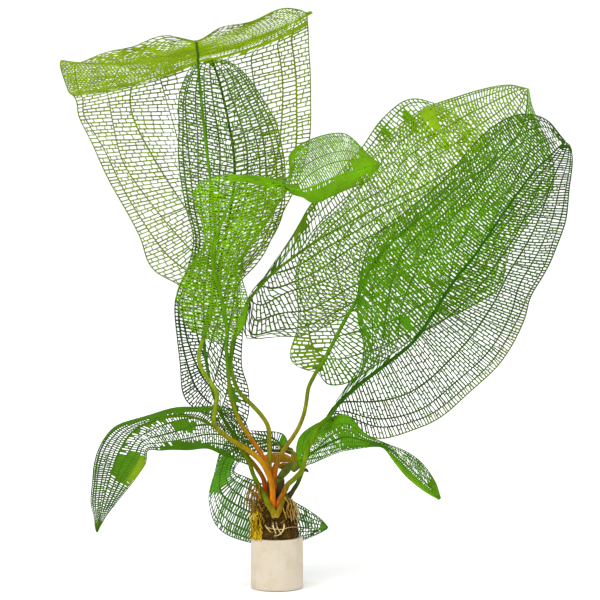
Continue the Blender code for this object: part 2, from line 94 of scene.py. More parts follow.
# Waves of the strands: how far, and in what range of radians along a strand, up and down, out and sideways
HEIGHT_WAVE, OUT_WAVE, WAVE_SHARE = 0.7, 0.5, (0.25, 1)
HEIGHT_WAVES, OUT_WAVES, SIDE_WAVES, WAVE_START = (3, 9), (3, 8), (4, 11), (0, 6)
# Pale roots: radius, tint and points (across, height, depth)
PALE_ROOTS = [
    (0.50, 0.95, [
        (-2.2, 33, -9.4), (-2, 30.5, -11), (-1, 28, -11.4), (-0.6, 26.5, -11.2), (-1.6, 25.2, -10.6),
    ]),
    (0.48, 0.90, [(-0.6, 32.5, -9.6), (0.3, 29.5, -11), (1.6, 27.2, -11), (2.2, 26, -10.8)]),
    (0.45, 0.95, [
        (3.4, 32, -9), (3.5, 29.8, -10.8), (2.6, 27.6, -11.4), (0.8, 26, -11.2), (-1.4, 25.4, -10.8),
    ]),
    (0.40, 0.85, [(-6, 31, -8.6), (-4.4, 28.8, -10.4), (-2.8, 27.4, -11), (-1.8, 27.6, -10.8)]),
    (0.26, 0.90, [(-5, 29.6, -10), (-1, 29, -11.3), (3, 28.8, -11.3), (6, 29.8, -9.8), (9.8, 30, -5.6)]),
    (0.42, 0.70, [(3.6, 43.5, -8), (2.8, 40.5, -10), (3.8, 37, -10.4), (4.8, 33.6, -9.6)]),
    (0.40, 0.55, [(5.6, 44.5, -6.6), (7.2, 41, -8.4), (6.6, 37, -8.8), (7.8, 33.5, -7.8)]),
    (0.36, 0.75, [(7.6, 43.5, -5), (9, 39.5, -6.4), (8.2, 35.5, -7), (9.2, 31, -5.6)]),
    (0.36, 0.65, [(3.6, 45, -8), (5.6, 42, -9.4), (4.9, 38.4, -10), (6, 34.4, -9)]),
    (0.30, 0.85, [(9.6, 41, -2.6), (10.8, 37, -3.6), (10.2, 32, -4.2), (11.2, 27, -3.6)]),
    (0.30, 0.60, [(6.4, 42, -8), (5.6, 39.4, -9.6), (6.8, 37.6, -9.4), (8, 39.6, -8)]),
]
# Steps for each of those points, sides, and how much thinner a root is at its end
ROOT_STEPS, ROOT_SIDES, ROOT_TAPER = 5, 7, 0.65
# Old leaf bases: points (across, height, depth), greatest half width, and tint: 0 dark, 0.5 green, 1 gold
OLD_BASES = [
    ([(0.5, 43, -3), (1.2, 47.5, -3.4), (2.2, 51, -3), (3.4, 54, -2.4)], 1.7, 0.0),
    ([(1.5, 43, -2), (3.2, 47, -2.2), (5, 50.5, -1.8), (7.4, 53.6, -1.4)], 1.5, 0.0),
    ([(-2.2, 43, -4.6), (-2.8, 46.5, -5), (-3.6, 50, -4.8), (-4.4, 53, -3.6)], 1.7, 0.0),
    ([(4.5, 42, -5.8), (6.4, 45.5, -5.8), (8.4, 49, -5.2), (9.6, 52, -4.8)], 1.2, 0.0),
    ([(7.8, 57.8, -1.6), (9.6, 60.2, -2.2), (11.6, 62.6, -2.8), (13.6, 65.6, -3.6)], 1.9, 0.5),
    ([(12, 57.5, -2.6), (14.2, 58.6, -2.4), (15.8, 57.4, -2.2)], 0.9, 0.2),
    ([(-7.8, 63.4, 14), (-4, 64.4, 14), (0, 64.7, 13.4), (4.4, 64.4, 12.6), (8.4, 63, 11.4)], 2.7, 1.0),
    ([(-7, 68.4, 17), (-1, 68.2, 17), (4.5, 67.8, 16), (9, 65.4, 14), (10.4, 62.4, 12)], 0.8, 0.1),
    ([(0.8, 60.2, 5), (3.4, 60.6, 7), (6.8, 61.4, 9)], 1.7, 0.9),
    ([(0.8, 54.4, 1.6), (3.2, 56.8, 3.4), (5.8, 59.6, 5.6), (8.2, 62.6, 9)], 2.0, 0.35),
]
# Points along one, sides, thickness as a share of its width, and how its width rises and falls
BASE_STEPS, BASE_SIDES, BASE_FLAT = 16, 12, 0.35
BASE_ROUNDING, BASE_POWER = (0.12, 0.84), 0.7
# Hair roots: each stands for a loose bundle, scattered round its points
HAIRS_EACH, HAIR_SCATTER = 6, 0.9
HAIR_RADII, HAIR_TINTS = (0.18, 0.32), (0.25, 0.65)
HAIR_ROOTS = [
    [(-8.5, 41, -4), (-10.5, 46, -5), (-13.5, 47.5, -5.5), (-15.8, 44.5, -6)],
    [(-8, 43, -4.5), (-9.8, 48, -5.5), (-12.5, 50, -6), (-15, 48, -6.5)],
    [(-7.5, 42, -5), (-8.6, 47, -6.5), (-9.4, 51, -6.5), (-11.8, 53.2, -6.5)],
    [(-9.5, 38, -4), (-11.8, 43, -5.5), (-11, 46.5, -6), (-8.6, 48.5, -6)],
    [(-10, 36, -4.5), (-12.6, 40, -5.5), (-14.6, 42.4, -5.5), (-14.2, 45.6, -5.5)],
]

# Blades: the step that finds a blade's direction, how steeply its ruffle grows towards the margin and
# fades at base and tip, the phase of the right margin's waves, and the steps and ends for its normals
BLADE_STEP = 0.01
RUFFLE_REACH, RUFFLE_FADE, RIGHT_RUFFLE_PHASE = 3, 6, 2.0
NORMAL_STEP, NORMAL_ENDS = (0.04, 0.008), (0.012, 0.988)
# Stalks and midribs: sides, length of a step, how soon a stalk has its radius at the blade, fewest
# steps, where along the blade the midrib ends and has its own radius, and how their radius varies
STALK_SIDES, STALK_STEP, STALK_TAPER = 12, 1.6, 1.4
LEAST_STALK_STEPS, LEAST_RIB_STEPS, RIB_END, RIB_BLEND = 12, 20, 0.99, 0.06
WOBBLE, WOBBLE_SCALE = 0.05, 0.25
# How far a strand has to start off the depth axis for its first ring to be turned from that axis
LEAST_SLANT = 0.2
# Smaller than any length or distance that counts
TINY = 1e-9

# Each leaf has the points of its stalk up to the blade, with the angle of its start on the crown ring if
# it starts there, how far the left and right half of its blade bow, as a share of their width, the height
# and number of its margin's waves, and its blade's stations from base to tip: left margin, midrib and
# right margin.
# A point is (across, height, depth): where it shows on the upright plane through the holder's axis,
# and how far behind that plane it lies.
LEAVES = {
    "floating_leaf": {
        "camber": (0.05, 0.05),
        "ruffle": (1.2, 7.0),
        "stalk": [
            (-1.7, 38.5, -8.4), (-2.2, 43, -8.8), (-2.2, 47.4, -8.2), (-3.2, 53.5, -9.8), (-7.7, 62.5, -12.5),
            (-15.3, 69, -14.2), (-23.5, 74, -14.8), (-31, 80.5, -14.3), (-31.2, 87.5, -13.6),
            (-30, 95, -12.8), (-32, 100.5, -12), (-37.5, 108.5, -10.6), (-39.2, 115.5, -9.8),
            (-37.5, 122.5, -8.6), (-34.5, 131, -6.6),
        ],
        "stations": [
            ((-34, 138, -4), (-32.5, 138, -4), (-31, 138, -4)),
            ((-48, 150, -2), (-32.5, 149.5, -5), (-18, 153, -2)),
            ((-62, 159, 2), (-31.5, 162.5, -6), (-6.5, 166.5, -1)),
            ((-69, 175, 8), (-31, 179.5, -5), (2.5, 186, -2)),
            ((-82.5, 201, 11), (-33, 201, -5), (11, 203.5, -3)),
            ((-92.5, 221, 13), (-35.5, 221, -4), (16.5, 224.5, -4)),
            ((-98.5, 234.5, 13), (-37.5, 240, -2), (17, 248, -6)),
            ((-101, 243.5, 9), (-39.2, 258, -2), (16, 272, -9)),
            ((-105, 250, -3), (-39.5, 264, -10), (15.5, 284.5, -16)),
            ((-108.2, 262, -18), (-39.7, 267, -25), (17, 288, -26)),
            ((-97, 263.5, -30), (-40, 269, -37), (4, 288, -37)),
            ((-78, 268.4, -41), (-40.2, 271, -47), (-14, 283.5, -46)),
            ((-60, 275.5, -49), (-40.4, 272.5, -53), (-29, 278.5, -52)),
            ((-41.5, 273, -56), (-40.5, 273, -56), (-39.5, 273, -56)),
        ],
    },
    "tall_leaf": {
        "camber": (0.08, 0.06),
        "ruffle": (0.9, 8.0),
        "stalk": [
            (-3.4, 41, -5.5), (-5, 45, -2.6), (-5.6, 47, 0.6), (-5.9, 50.5, 1.2), (-7, 54.5, 2.4),
            (-9.6, 58.8, 4), (-13, 63.2, 5.8), (-16.8, 67.2, 7.3),
        ],
        "stations": [
            ((-21.5, 74.5, 9.3), (-21, 75, 9.3), (-20, 75.5, 9.3)),
            ((-33, 84, 11), (-27.2, 85, 10), (-14.5, 85, 9)),
            ((-45.5, 93.5, 14), (-31.8, 96.5, 11), (-14, 98, 10)),
            ((-48.5, 109.5, 16), (-34.8, 109.5, 12), (-17.5, 110.5, 11)),
            ((-50, 126, 16), (-36.5, 126, 13), (-17, 127, 11)),
            ((-51, 143.5, 16), (-33.5, 141, 14), (-18, 143.5, 13)),
            ((-45, 158.5, 15), (-30, 156, 14), (-17, 156, 15)),
            ((-42, 173.5, 15), (-26, 173.5, 13), (-4, 172, 18)),
            ((-45.5, 190, 16), (-23, 190, 12), (3.5, 188.5, 19)),
            ((-48.5, 204.5, 16), (-21.2, 205, 11), (4, 204.5, 19)),
            ((-49.3, 219, 16), (-21.8, 218.5, 10), (3, 219, 18)),
            ((-49.3, 232, 15), (-24, 231, 9), (-0.5, 231.5, 16)),
            ((-48.7, 246, 13), (-26.8, 244.5, 8), (-9, 247.5, 14)),
            ((-45.5, 256, 10), (-29.5, 255, 7), (-16.5, 257, 11)),
            ((-40, 262.7, 7), (-31.7, 261, 6), (-24.5, 263, 8)),
            ((-34, 264.5, 6), (-32.8, 264.8, 6), (-31.5, 264.5, 6)),
        ],
    },
    "folded_leaf": {
        "camber": (0.10, 0.10),
        "ruffle": (0.9, 6.0),
        "stalk": [
            (0, STALK_BASE, 0), (-1.2, 49.5, -2.2), (-4.2, 57.5, -5), (-7.7, 66, -7.8), (-12.6, 73.5, -9.4),
            (-17.6, 81, -10.2), (-21, 88.3, -10.4), (-23.3, 96, -10.3), (-24.2, 105, -10.2),
            (-24.9, 114, -10),
        ],
        "stations": [
            ((-27, 121, -10), (-25.5, 121, -10), (-24, 121, -10)),
            ((-43.5, 129.5, -11), (-25, 128.5, -13), (-17, 129.5, -12)),
            ((-50.5, 143.5, -13), (-27.5, 143.5, -17), (-14.5, 142.5, -14)),
            ((-45, 158.5, -17), (-31.5, 158.5, -22), (-18, 158.5, -19)),
            ((-37, 171, -22), (-31, 172, -26), (-13.5, 170, -23)),
            ((-38, 184.5, -25), (-26.5, 185.5, -30), (-4, 183.5, -27)),
            ((-42, 197, -27), (-20.5, 197.5, -34), (3.5, 195.5, -31)),
            ((-32, 204.5, -32), (-15.5, 203.5, -38), (5.5, 199, -34)),
            ((-9.5, 205, -31), (-3.5, 201.5, -35), (7.5, 197, -34)),
            ((5.5, 205.5, -28), (9.5, 198.5, -33), (13, 194.5, -33)),
            ((6.5, 216, -22), (18.5, 200.5, -31), (18.5, 192, -32)),
            ((17.5, 224.5, -20), (28, 204.5, -30), (28, 195.5, -31)),
            ((33, 226.5, -20), (36.5, 207.5, -29), (37.5, 199.5, -30)),
            ((43.5, 218.5, -22), (44.5, 210, -28), (45.5, 203.5, -28)),
            ((50, 212.5, -25), (51, 212, -25), (51.5, 211, -25)),
        ],
    },
    "broad_leaf": {
        "camber": (0.10, 0.06),
        "ruffle": (1.2, 7.0),
        "stalk": [
            (0.4, 39, -8.4), (1, 43, -7.8), (2.9, 46.5, -5.6), (5, 50.8, -8.2), (8.8, 54.2, -11),
            (12.3, 58.2, -13.6), (13.8, 63.5, -15.4), (15.2, 68.6, -16.5), (18, 74.5, -17.2),
            (21.5, 80.8, -16.4),
        ],
        "stations": [
            ((24, 84.5, -14), (25, 84, -14), (26, 83.5, -14)),
            ((29.5, 92.5, -15), (31.5, 92.5, -14), (35, 79.5, -6)),
            ((36, 103, -17), (41.5, 101.5, -15), (53, 74.5, -2)),
            ((42, 111.5, -19), (54, 111, -17), (74, 80.5, -4)),
            ((43, 121, -22), (67.5, 122, -20), (92, 93.5, -8)),
            ((40.5, 134.5, -27), (76.5, 134, -23), (109.5, 109.5, -12)),
            ((40.5, 151, -31), (87.5, 151.5, -26), (123.4, 132.5, -16)),
            ((47.5, 173.5, -34), (99, 166, -28), (127.8, 147.2, -20)),
            ((64, 188, -35), (107.5, 178.5, -30), (138, 164.5, -22)),
            ((81.5, 202, -35), (116.5, 191.5, -31), (143.5, 181, -24)),
            ((101.5, 225, -34), (127.5, 206.5, -32), (146.5, 198.5, -28)),
            ((119, 236, -33), (136.5, 215.5, -33), (147.5, 211, -31)),
            ((134, 234, -33), (141.5, 220.5, -33), (147.5, 218.5, -32)),
            ((143.5, 223.5, -33), (144.5, 222.5, -33), (146, 221.5, -33)),
        ],
    },
    "middle_leaf": {
        "crown_angle": 80,
        "camber": (0.08, 0.06),
        "ruffle": (1.4, 7.0),
        "stalk": [
            (-2.6, 49, 4.6), (-2.4, 53.5, 4.8), (-1.5, 57.6, 4.6), (0.5, 63, 4), (4, 69.5, 3.1),
            (7.8, 74.7, 2), (11.2, 80.5, 0.9), (13.6, 87, -0.1), (14.8, 93.5, -1.1), (15.9, 100, -2),
        ],
        "stations": [
            ((18.5, 107.5, -3), (19.5, 107.3, -3), (20.5, 107, -3)),
            ((11.5, 109.5, 0), (23, 112.5, -3), (26, 101, 0)),
            ((6.5, 115, 3), (27.5, 121, -3), (37, 103, 1)),
            ((10, 128.5, 5), (34, 133.5, -3), (54, 113.5, 2)),
            ((10, 146, 7), (40.5, 145, -4), (68, 124.5, 3)),
            ((10.5, 162.5, 8), (46.5, 159.5, -4), (81.5, 132.5, 3)),
            ((17.5, 175.5, 9), (57.5, 172.5, -4), (96.5, 140, 2)),
            ((29, 187.5, 9), (69, 182.5, -4), (111.5, 149.5, 1)),
            ((37.5, 198.5, 9), (81.5, 192, -4), (115.5, 166, 0)),
            ((43, 214, 9), (94, 203, -4), (126.5, 182.5, -2)),
            ((54.5, 225.5, 8), (106.5, 210.5, -5), (137, 197.5, -6)),
            ((74, 239.5, 5), (115.5, 219.5, -6), (138.5, 211, -9)),
            ((94, 246.5, 2), (122.5, 229.5, -7), (134, 226, -10)),
            ((114, 251, -2), (125, 241, -8), (128.5, 237.5, -10)),
            ((124, 249.5, -7), (125, 249.5, -8), (126, 249, -8)),
        ],
    },
    "rear_leaf": {
        "crown_angle": 125,
        "camber": (0.06, 0.06),
        "ruffle": (1.0, 6.0),
        "stalk": [
            (-3.5, 50, 3.2), (-3.7, 57.5, 1.9), (-3.7, 65, 1), (-3.8, 73, 0.6), (-4.4, 80, 0.3),
            (-7.8, 85.8, 0.2), (-13, 91.5, 0.3), (-18.5, 97, 0.6), (-21.4, 103, 1), (-23, 111, 2),
            (-22.6, 120, 3.6), (-19.8, 129.5, 5.6), (-17, 136.5, 7.2),
        ],
        "stations": [
            ((-15.5, 142.5, 8), (-15, 142, 8), (-14.8, 141, 8)),
            ((-11.5, 149.5, 10), (-10.5, 148, 9), (-17, 130.5, 17)),
            ((-4, 158.5, 14), (-2, 157, 12), (-14, 123.5, 20)),
            ((4.5, 171, 18), (9, 165.5, 16), (-1, 125, 21)),
            ((11, 181.5, 21), (20.5, 173.5, 19), (15.5, 126.5, 23)),
            ((17, 191.5, 23), (34, 181, 21), (37.5, 137.5, 24)),
            ((29, 205, 25), (47.5, 188.5, 23), (54, 148.5, 26)),
            ((42, 219.5, 26), (61.5, 195, 24), (69, 162.5, 27)),
            ((51.5, 233, 26), (75, 201.5, 25), (81.5, 179.5, 27)),
            ((64.5, 243.5, 26), (86.5, 208.5, 25), (95, 192.5, 26)),
            ((77, 242.5, 26), (98, 214, 25), (104, 203.5, 25)),
            ((95, 232, 25), (106, 217, 25), (109, 213, 25)),
            ((109, 219, 24), (110, 218.5, 24), (110.5, 218, 24)),
        ],
    },
    "left_arching_leaf": {
        "camber": (0.12, 0.08),
        "ruffle": (0.5, 7.0),
        "stalk": [
            (-0.9, 35, -10.4), (-2.3, 38.1, -11), (-4.3, 41.3, -10.3), (-5.8, 44.6, -8.2),
            (-7.2, 47.2, -4.9), (-9.9, 52.2, -6.2), (-12, 56.6, -6.9),
        ],
        "stations": [
            ((-14, 62.5, -7), (-13.5, 61.5, -7), (-13, 60.5, -7)),
            ((-14.5, 79.5, -2), (-19.5, 70.5, -6), (-23.5, 64.5, -10)),
            ((-22, 88.5, -1), (-30.5, 79.5, -6), (-34.5, 69, -12)),
            ((-35.5, 90.5, -1), (-42.5, 85, -8), (-45.5, 68.5, -15)),
            ((-52.5, 89, -3), (-57, 84.5, -11), (-57, 68.5, -19)),
            ((-74.5, 83, -8), (-71, 78.5, -15), (-64.5, 68, -22)),
            ((-86, 75.5, -13), (-78.5, 68.5, -19), (-66, 61, -24)),
            ((-91.5, 61, -17), (-82.5, 58, -22), (-72, 52.5, -24)),
            ((-93, 45, -19), (-86.5, 44.5, -23), (-79.5, 43, -24)),
            ((-91.5, 33.5, -21), (-88.5, 34.5, -23), (-86, 34.5, -23)),
            ((-90.5, 27.5, -22), (-90, 27.5, -22), (-89.5, 27.5, -22)),
        ],
    },
    "right_arching_leaf": {
        "camber": (0.10, 0.08),
        "ruffle": (0.4, 5.0),
        "stalk": [
            (-0.6, 35, -10.3), (1, 38.1, -10.8), (2.1, 41.3, -9.8), (4, 44.6, -7), (7.4, 47.5, -1.5),
            (10.3, 51.8, -2.4),
        ],
        "stations": [
            ((12, 58, -3.3), (12.5, 57.5, -3.3), (13, 57, -3.3)),
            ((10, 65, -4), (13.8, 63, -5), (14.5, 60.5, -7)),
            ((9.8, 70.5, -4), (17, 66.8, -6.5), (18.5, 61.8, -10)),
            ((13, 77, -5), (22.5, 70, -9), (25, 65, -13)),
            ((22.5, 83, -8), (28.5, 73, -13), (30, 66.8, -16)),
            ((35, 86, -15), (35, 75, -18), (35.5, 68.3, -19)),
            ((44, 76.8, -21), (44, 73, -21), (43.5, 69.5, -21)),
            ((53.5, 72.5, -25), (53.5, 70.5, -24), (52, 70, -22)),
            ((63, 68.5, -27), (61.5, 64.3, -24), (58, 63.3, -22)),
            ((72.5, 62.3, -28), (69, 57.2, -25), (65.5, 54.5, -23)),
            ((78.8, 53.5, -28), (76, 50.5, -26), (73, 48.3, -25)),
            ((82, 44.5, -27), (81.5, 44, -27), (81, 43.5, -27)),
        ],
    },
    "curled_leaf": {
        "crown_angle": 35,
        "camber": (0.08, 0.08),
        "ruffle": (0.4, 6.0),
        "stalk": [
            (0.2, 48, 0), (0.8, 52.6, 1.5), (3, 56.8, 4), (6, 60.4, 7.5), (8.6, 63.8, 11.5),
            (8.4, 66.6, 15.5), (6.6, 68, 18.5),
        ],
        "stations": [
            ((6, 69, 19), (6.5, 68, 19), (6, 67, 19)),
            ((3, 76.5, 22), (-0.5, 72, 23), (-0.5, 67.5, 23)),
            ((-7.5, 78, 27), (-9.5, 73, 27), (-9.5, 67, 25)),
            ((-17, 77.5, 29), (-18.5, 71, 28), (-16.5, 64.5, 24)),
            ((-27.5, 70, 28), (-25.5, 64.5, 24), (-20.5, 60.5, 20)),
            ((-31.5, 56, 25), (-28.5, 54.5, 20), (-21, 57.5, 15)),
            ((-34, 42, 22), (-27.5, 46.5, 16), (-17, 55.5, 12)),
            ((-29.5, 29.5, 20), (-19.5, 40.5, 17), (-9.5, 52.5, 14)),
            ((-17, 23, 20), (-7.5, 35, 19), (0.5, 48.5, 17)),
            ((-1, 20.5, 21), (4, 31.5, 20), (7.5, 43.5, 18)),
            ((12.5, 23, 20), (14, 29.5, 19), (15.5, 38.5, 17)),
            ((20.5, 26.5, 18), (20.5, 29.5, 18), (21.5, 34.5, 17)),
            ((25, 29, 17), (25.5, 29.5, 17), (25.5, 30, 17)),
        ],
    },
}

# The floating leaf's top turns flat: there its net is finer and its long veins run aslant, up to the
# two low arcs of open net along its far edge, which begin at these places across and along the blade
ARC_FROM = [
    (-1, 0.825), (-0.90, 0.845), (-0.86, 0.87), (-0.66, 0.89), (-0.54, 0.91), (-0.27, 0.925), (0, 0.93),
    (0.27, 0.90), (0.50, 0.835), (0.62, 0.80), (0.68, 1.01),
]
NO_ARCS = [(0, 1.01)]
# The factors of the spacing of cross veins and ticks in the arcs, and where along the blade its top folds
ARC_COARSE = (1.0, 0.55)
FOLD_FROM, FOLD_TO = 0.57, 0.73

# The net of each blade. strips: how many lie between long veins on the left and right of the midrib, or
# the long veins themselves as (place across, where it leaves the midrib); branch: how far along the
# blade the innermost long veins leave the midrib; rung and brick: the spacing of the cross veins and of
# the ticks between them; half: half widths of long veins, cross veins and ticks; lean: how much further
# along the blade than at the midrib a cross vein ends at the left and right margin, as (place along the
# blade, lean); coarse: how the spacing grows, as (place along the blade, factor for the cross veins,
# factor for the ticks); beside: how it grows next to the midrib; spread: how far along the blade a long
# vein takes to reach its place; solid: patches of closed cells, as the u and the cross vein's place of the
# patch's centre, its reach both ways, and the share that is closed; dense: patches of thicker veins round
# smaller holes, or thinner ones, with how much thicker last; arcs: where the arcs of open net begin;
# skew: how far the long veins run aslant past the fold.
NETS = {
    "floating_leaf": {
        "strips": (5, 5), "branch": 0.30, "rung": 1.95, "brick": 4.4, "half": (0.34, 0.30, 0.26),
        "lean": (
            [(0, 0), (0.10, -0.06), (0.20, -0.106), (0.25, -0.055), (0.30, -0.028), (0.38, -0.012),
             (0.46, 0.02), (0.56, 0), (1, 0)],
            [(0, 0), (0.25, -0.012), (0.37, 0.034), (0.43, 0.03), (0.52, 0.005), (1, 0)],
        ),
        "coarse": [(0.56, 1.0, 1.0), (0.59, 0.66, 0.42)],
        "arcs": ARC_FROM, "skew": 0.32,
        "beside": 1.35,
        "solid": [
            (0, 0.592, 1.6, 0.010, 1.0), (0, 0.94, 0.15, 0.1, 0.7), (-0.70, 0.82, 0.55, 0.075, 0.20),
        ],
        "dense": [
            (-0.7, 0.72, 1.0, 0.20, 2.0), (-0.5, 0.65, 0.85, 0.12, 1.6), (0.6, 0.70, 0.7, 0.16, 1.05),
            (0.65, 0.63, 0.6, 0.07, 1.3), (0.1, 0.37, 0.5, 0.24, 0.6),
        ],
    },
    "tall_leaf": {
        "strips": (6, 6), "branch": 0.40, "rung": 1.55, "brick": 3.2, "half": (0.40, 0.33, 0.29),
        "lean": (
            [(0, 0), (0.10, -0.06), (0.16, -0.05), (0.21, -0.02), (0.26, 0.004), (0.53, 0.019), (0.66, 0.036),
             (0.78, 0.022), (1, 0)],
            [(0, 0), (0.08, -0.07), (0.16, -0.13), (0.23, -0.10), (0.28, -0.07), (0.33, 0), (0.39, 0.07),
             (0.50, 0.05), (0.62, 0.03), (0.80, 0.033), (0.90, 0.015), (1, 0)],
        ),
        "coarse": [(0, 0.85, 0.95), (0.20, 0.95, 1.0), (0.30, 1.15, 1.15), (0.45, 1.0, 1.0)],
        "beside": 1.4,
        "solid": [(0.57, 0.185, 0.13, 0.055, 0.9)],
        "dense": [(0, 0.06, 1.6, 0.15, 0.88)],
    },
    "folded_leaf": {
        "strips": (5, 5), "branch": 0.25, "rung": 1.2, "brick": 2.3, "half": (0.36, 0.30, 0.27),
        "lean": (
            [(0, 0), (0.30, 0), (0.39, 0.016), (0.60, 0), (0.71, 0.01), (0.76, -0.01), (0.86, -0.03),
             (0.93, -0.05), (1, 0)],
            [(0, 0), (0.14, 0), (0.26, 0.032), (0.34, 0.046), (0.38, 0.07), (0.46, 0.05), (0.55, 0), (1, 0)],
        ),
        "coarse": [(0, 1, 1), (0.66, 1, 1), (0.72, 0.72, 1.1)],
        "solid": [
            (-0.15, 0.545, 0.9, 0.075, 1.0), (0.35, 0.62, 0.7, 0.06, 1.0), (0.65, 0.74, 0.55, 0.17, 1.0),
            (0, 0.98, 1.6, 0.06, 1.0), (0.88, 0.09, 0.30, 0.05, 0.55), (-0.97, 0.70, 0.15, 0.06, 1.0),
            (0.1, 0.93, 0.55, 0.075, 1.0), (0.3, 0.83, 0.32, 0.06, 1.0),
        ],
    },
    "broad_leaf": {
        "strips": (
            [(0.16, 0.60), (0.30, 0.45), (0.48, 0.20), (0.64, 0.08), (0.84, 0.03)],
            [(0.14, 0.58), (0.30, 0.345), (0.50, 0.07), (0.73, 0.02), (0.89, 0.01)],
        ),
        "rung": 1.45, "brick": 3.6, "half": (0.35, 0.31, 0.26),
        "lean": (
            [(0, 0), (0.06, 0.12), (0.12, 0.19), (0.22, 0.20), (0.38, 0.145), (0.52, 0.155), (0.60, 0.108),
             (0.70, 0.07), (0.78, 0.04), (0.85, 0), (1, 0)],
            [(0, 0), (0.10, -0.01), (0.40, -0.012), (0.47, 0.03), (0.53, 0.047), (0.61, 0.048), (0.70, 0.028),
             (0.77, 0.045), (0.88, 0.02), (1, 0)],
        ),
        "coarse": [
            (0, 1.1, 1.6), (0.25, 1.05, 1.3), (0.40, 1.0, 1.0), (0.65, 0.95, 0.95), (0.80, 0.75, 0.75),
        ],
        "solid": [(-0.31, 0.33, 0.17, 0.010, 1.0)],
        "dense": [(-0.97, 0.17, 0.16, 0.20, 1.7)],
    },
    "middle_leaf": {
        "strips": (6, 6), "branch": 0.45, "rung": 1.6, "brick": 3.2, "half": (0.35, 0.29, 0.25),
        "lean": (
            [(0, 0), (0.10, 0.035), (0.16, 0.035), (0.22, 0.024), (0.28, 0.007), (0.325, 0.026),
             (0.355, 0.063), (0.384, 0.095), (0.43, 0.17), (0.50, 0.195), (0.59, 0.197), (0.68, 0.13),
             (0.76, 0.088), (0.83, 0.08), (0.92, 0.03), (1, 0)],
            [(0, 0), (0.12, 0.01), (0.16, 0.03), (0.21, 0.035), (0.28, -0.02), (0.35, -0.027), (0.45, 0),
             (1, 0)],
        ),
        "coarse": [(0, 0.95, 1.0), (0.14, 1.2, 1.2), (0.22, 1.2, 1.2), (0.4, 1.15, 1.15), (0.58, 0.95, 0.95)],
        "solid": [(-0.86, 0.70, 0.19, 0.015, 0.5)],
        "dense": [
            (0.45, 0.44, 0.55, 0.26, 1.6), (-0.86, 0.68, 0.25, 0.06, 1.25), (-0.60, 0.73, 0.45, 0.08, 1.55),
            (-0.7, 0.03, 1.1, 0.16, 1.85), (0.8, 0.03, 0.8, 0.16, 1.25), (-0.6, 0.30, 0.8, 0.18, 0.9),
            (-0.3, 0.93, 1.2, 0.10, 1.15),
        ],
    },
    "rear_leaf": {
        "strips": (5, [(0.16, 0.16), (0.30, 0.11), (0.45, 0.02), (0.68, 0.01), (0.88, 0.01)]),
        "branch": 0.40, "rung": 1.75, "brick": 3.5, "half": (0.34, 0.28, 0.23),
        "lean": (
            [(0, 0), (0.10, 0.02), (0.32, 0.06), (0.35, 0.075), (0.42, 0.054), (0.50, 0.04), (0.60, 0),
             (0.67, -0.02), (0.745, -0.05), (0.85, -0.02), (1, 0)],
            [(0, 0), (0.03, 0.14), (0.06, 0.17), (0.10, 0.17), (0.15, 0.19), (0.23, 0.165), (0.30, 0.14),
             (0.42, 0.10), (0.60, 0.04), (1, 0)],
        ),
        "coarse": [(0, 1.3, 1.2), (0.12, 1.25, 1.15), (0.22, 1.05, 1.05)],
        "spread": 0.16,
        "solid": [(-0.75, 0.765, 0.15, 0.025, 0.25), (-0.85, 0.67, 0.10, 0.018, 0.35)],
        "dense": [
            (-0.80, 0.20, 0.60, 0.14, 2.1), (-1.0, 0.33, 0.25, 0.11, 2.1), (0.6, 0.04, 1.0, 0.14, 1.15),
            (-0.75, 0.765, 0.22, 0.04, 1.5), (-0.85, 0.67, 0.14, 0.035, 1.8),
        ],
    },
    "left_arching_leaf": {
        "strips": (5, 5), "branch": 0.35, "rung": 1.05, "brick": 4.0, "half": (0.34, 0.26, 0.26),
        "lean": (
            [(0, 0), (0.50, 0.03), (0.65, 0.026), (0.72, 0.009), (1, 0)],
            [(0, 0), (0.50, -0.10), (0.62, -0.05), (0.72, 0.009), (1, 0)],
        ),
        "coarse": [(0, 1.05, 0.55), (0.50, 1.05, 0.55), (0.64, 1.0, 0.9)],
        "solid": [
            (-0.85, 0.36, 0.34, 0.13, 1.0), (0.5, 0.665, 0.62, 0.065, 1.0), (0.95, 0.30, 0.25, 0.24, 0.97),
            (0, 1, 1.6, 0.10, 1.0), (0, 0.58, 0.12, 0.25, 0.9),
            (-1.0, 0.44, 0.20, 0.18, 0.9), (0.25, 0.34, 0.2, 0.06, 0.8),
        ],
        "dense": [(0, 0.82, 1.6, 0.22, 1.2)],
    },
    "right_arching_leaf": {
        "strips": (4, 4), "branch": 0.30, "rung": 1.15, "brick": 2.2, "half": (0.35, 0.30, 0.28),
        "lean": (
            [(0, 0), (0.50, 0), (0.80, -0.07), (0.93, -0.08), (1, 0)],
            [(0, 0), (0.50, 0), (1, 0)],
        ),
        "coarse": [(0, 0.9, 1), (0.5, 0.75, 1)],
        "solid": [
            (-0.80, 0.28, 0.50, 0.36, 1.0), (0.3, 0.48, 0.9, 0.14, 0.45), (0.78, 0.82, 0.42, 0.22, 1.0),
            (0, 1, 1.6, 0.08, 1.0), (0, 0, 1.6, 0.05, 1.0),
        ],
        "dense": [(0.1, 0.40, 1.1, 0.26, 1.75), (0.2, 0.80, 1.2, 0.26, 1.6)],
    },
    "curled_leaf": {
        "strips": (4, 4), "branch": 0.20, "rung": 1.25, "brick": 9.0, "half": (0.46, 0.38, 0.30),
        "lean": (
            [(0, 0), (0.33, 0.08), (0.50, 0.05), (0.60, 0.03), (0.75, 0), (1, 0)],
            [(0, 0), (0.40, 0), (0.62, -0.06), (0.85, -0.05), (1, 0)],
        ),
        "coarse": [(0, 1, 1)],
        "solid": [(-0.15, 0.38, 0.95, 0.095, 0.95), (0, 0, 1.6, 0.07, 1.0), (0, 1, 1.6, 0.07, 1.0)],
        "dense": [(0, 0.78, 1.6, 0.36, 1.35)],
    },
}
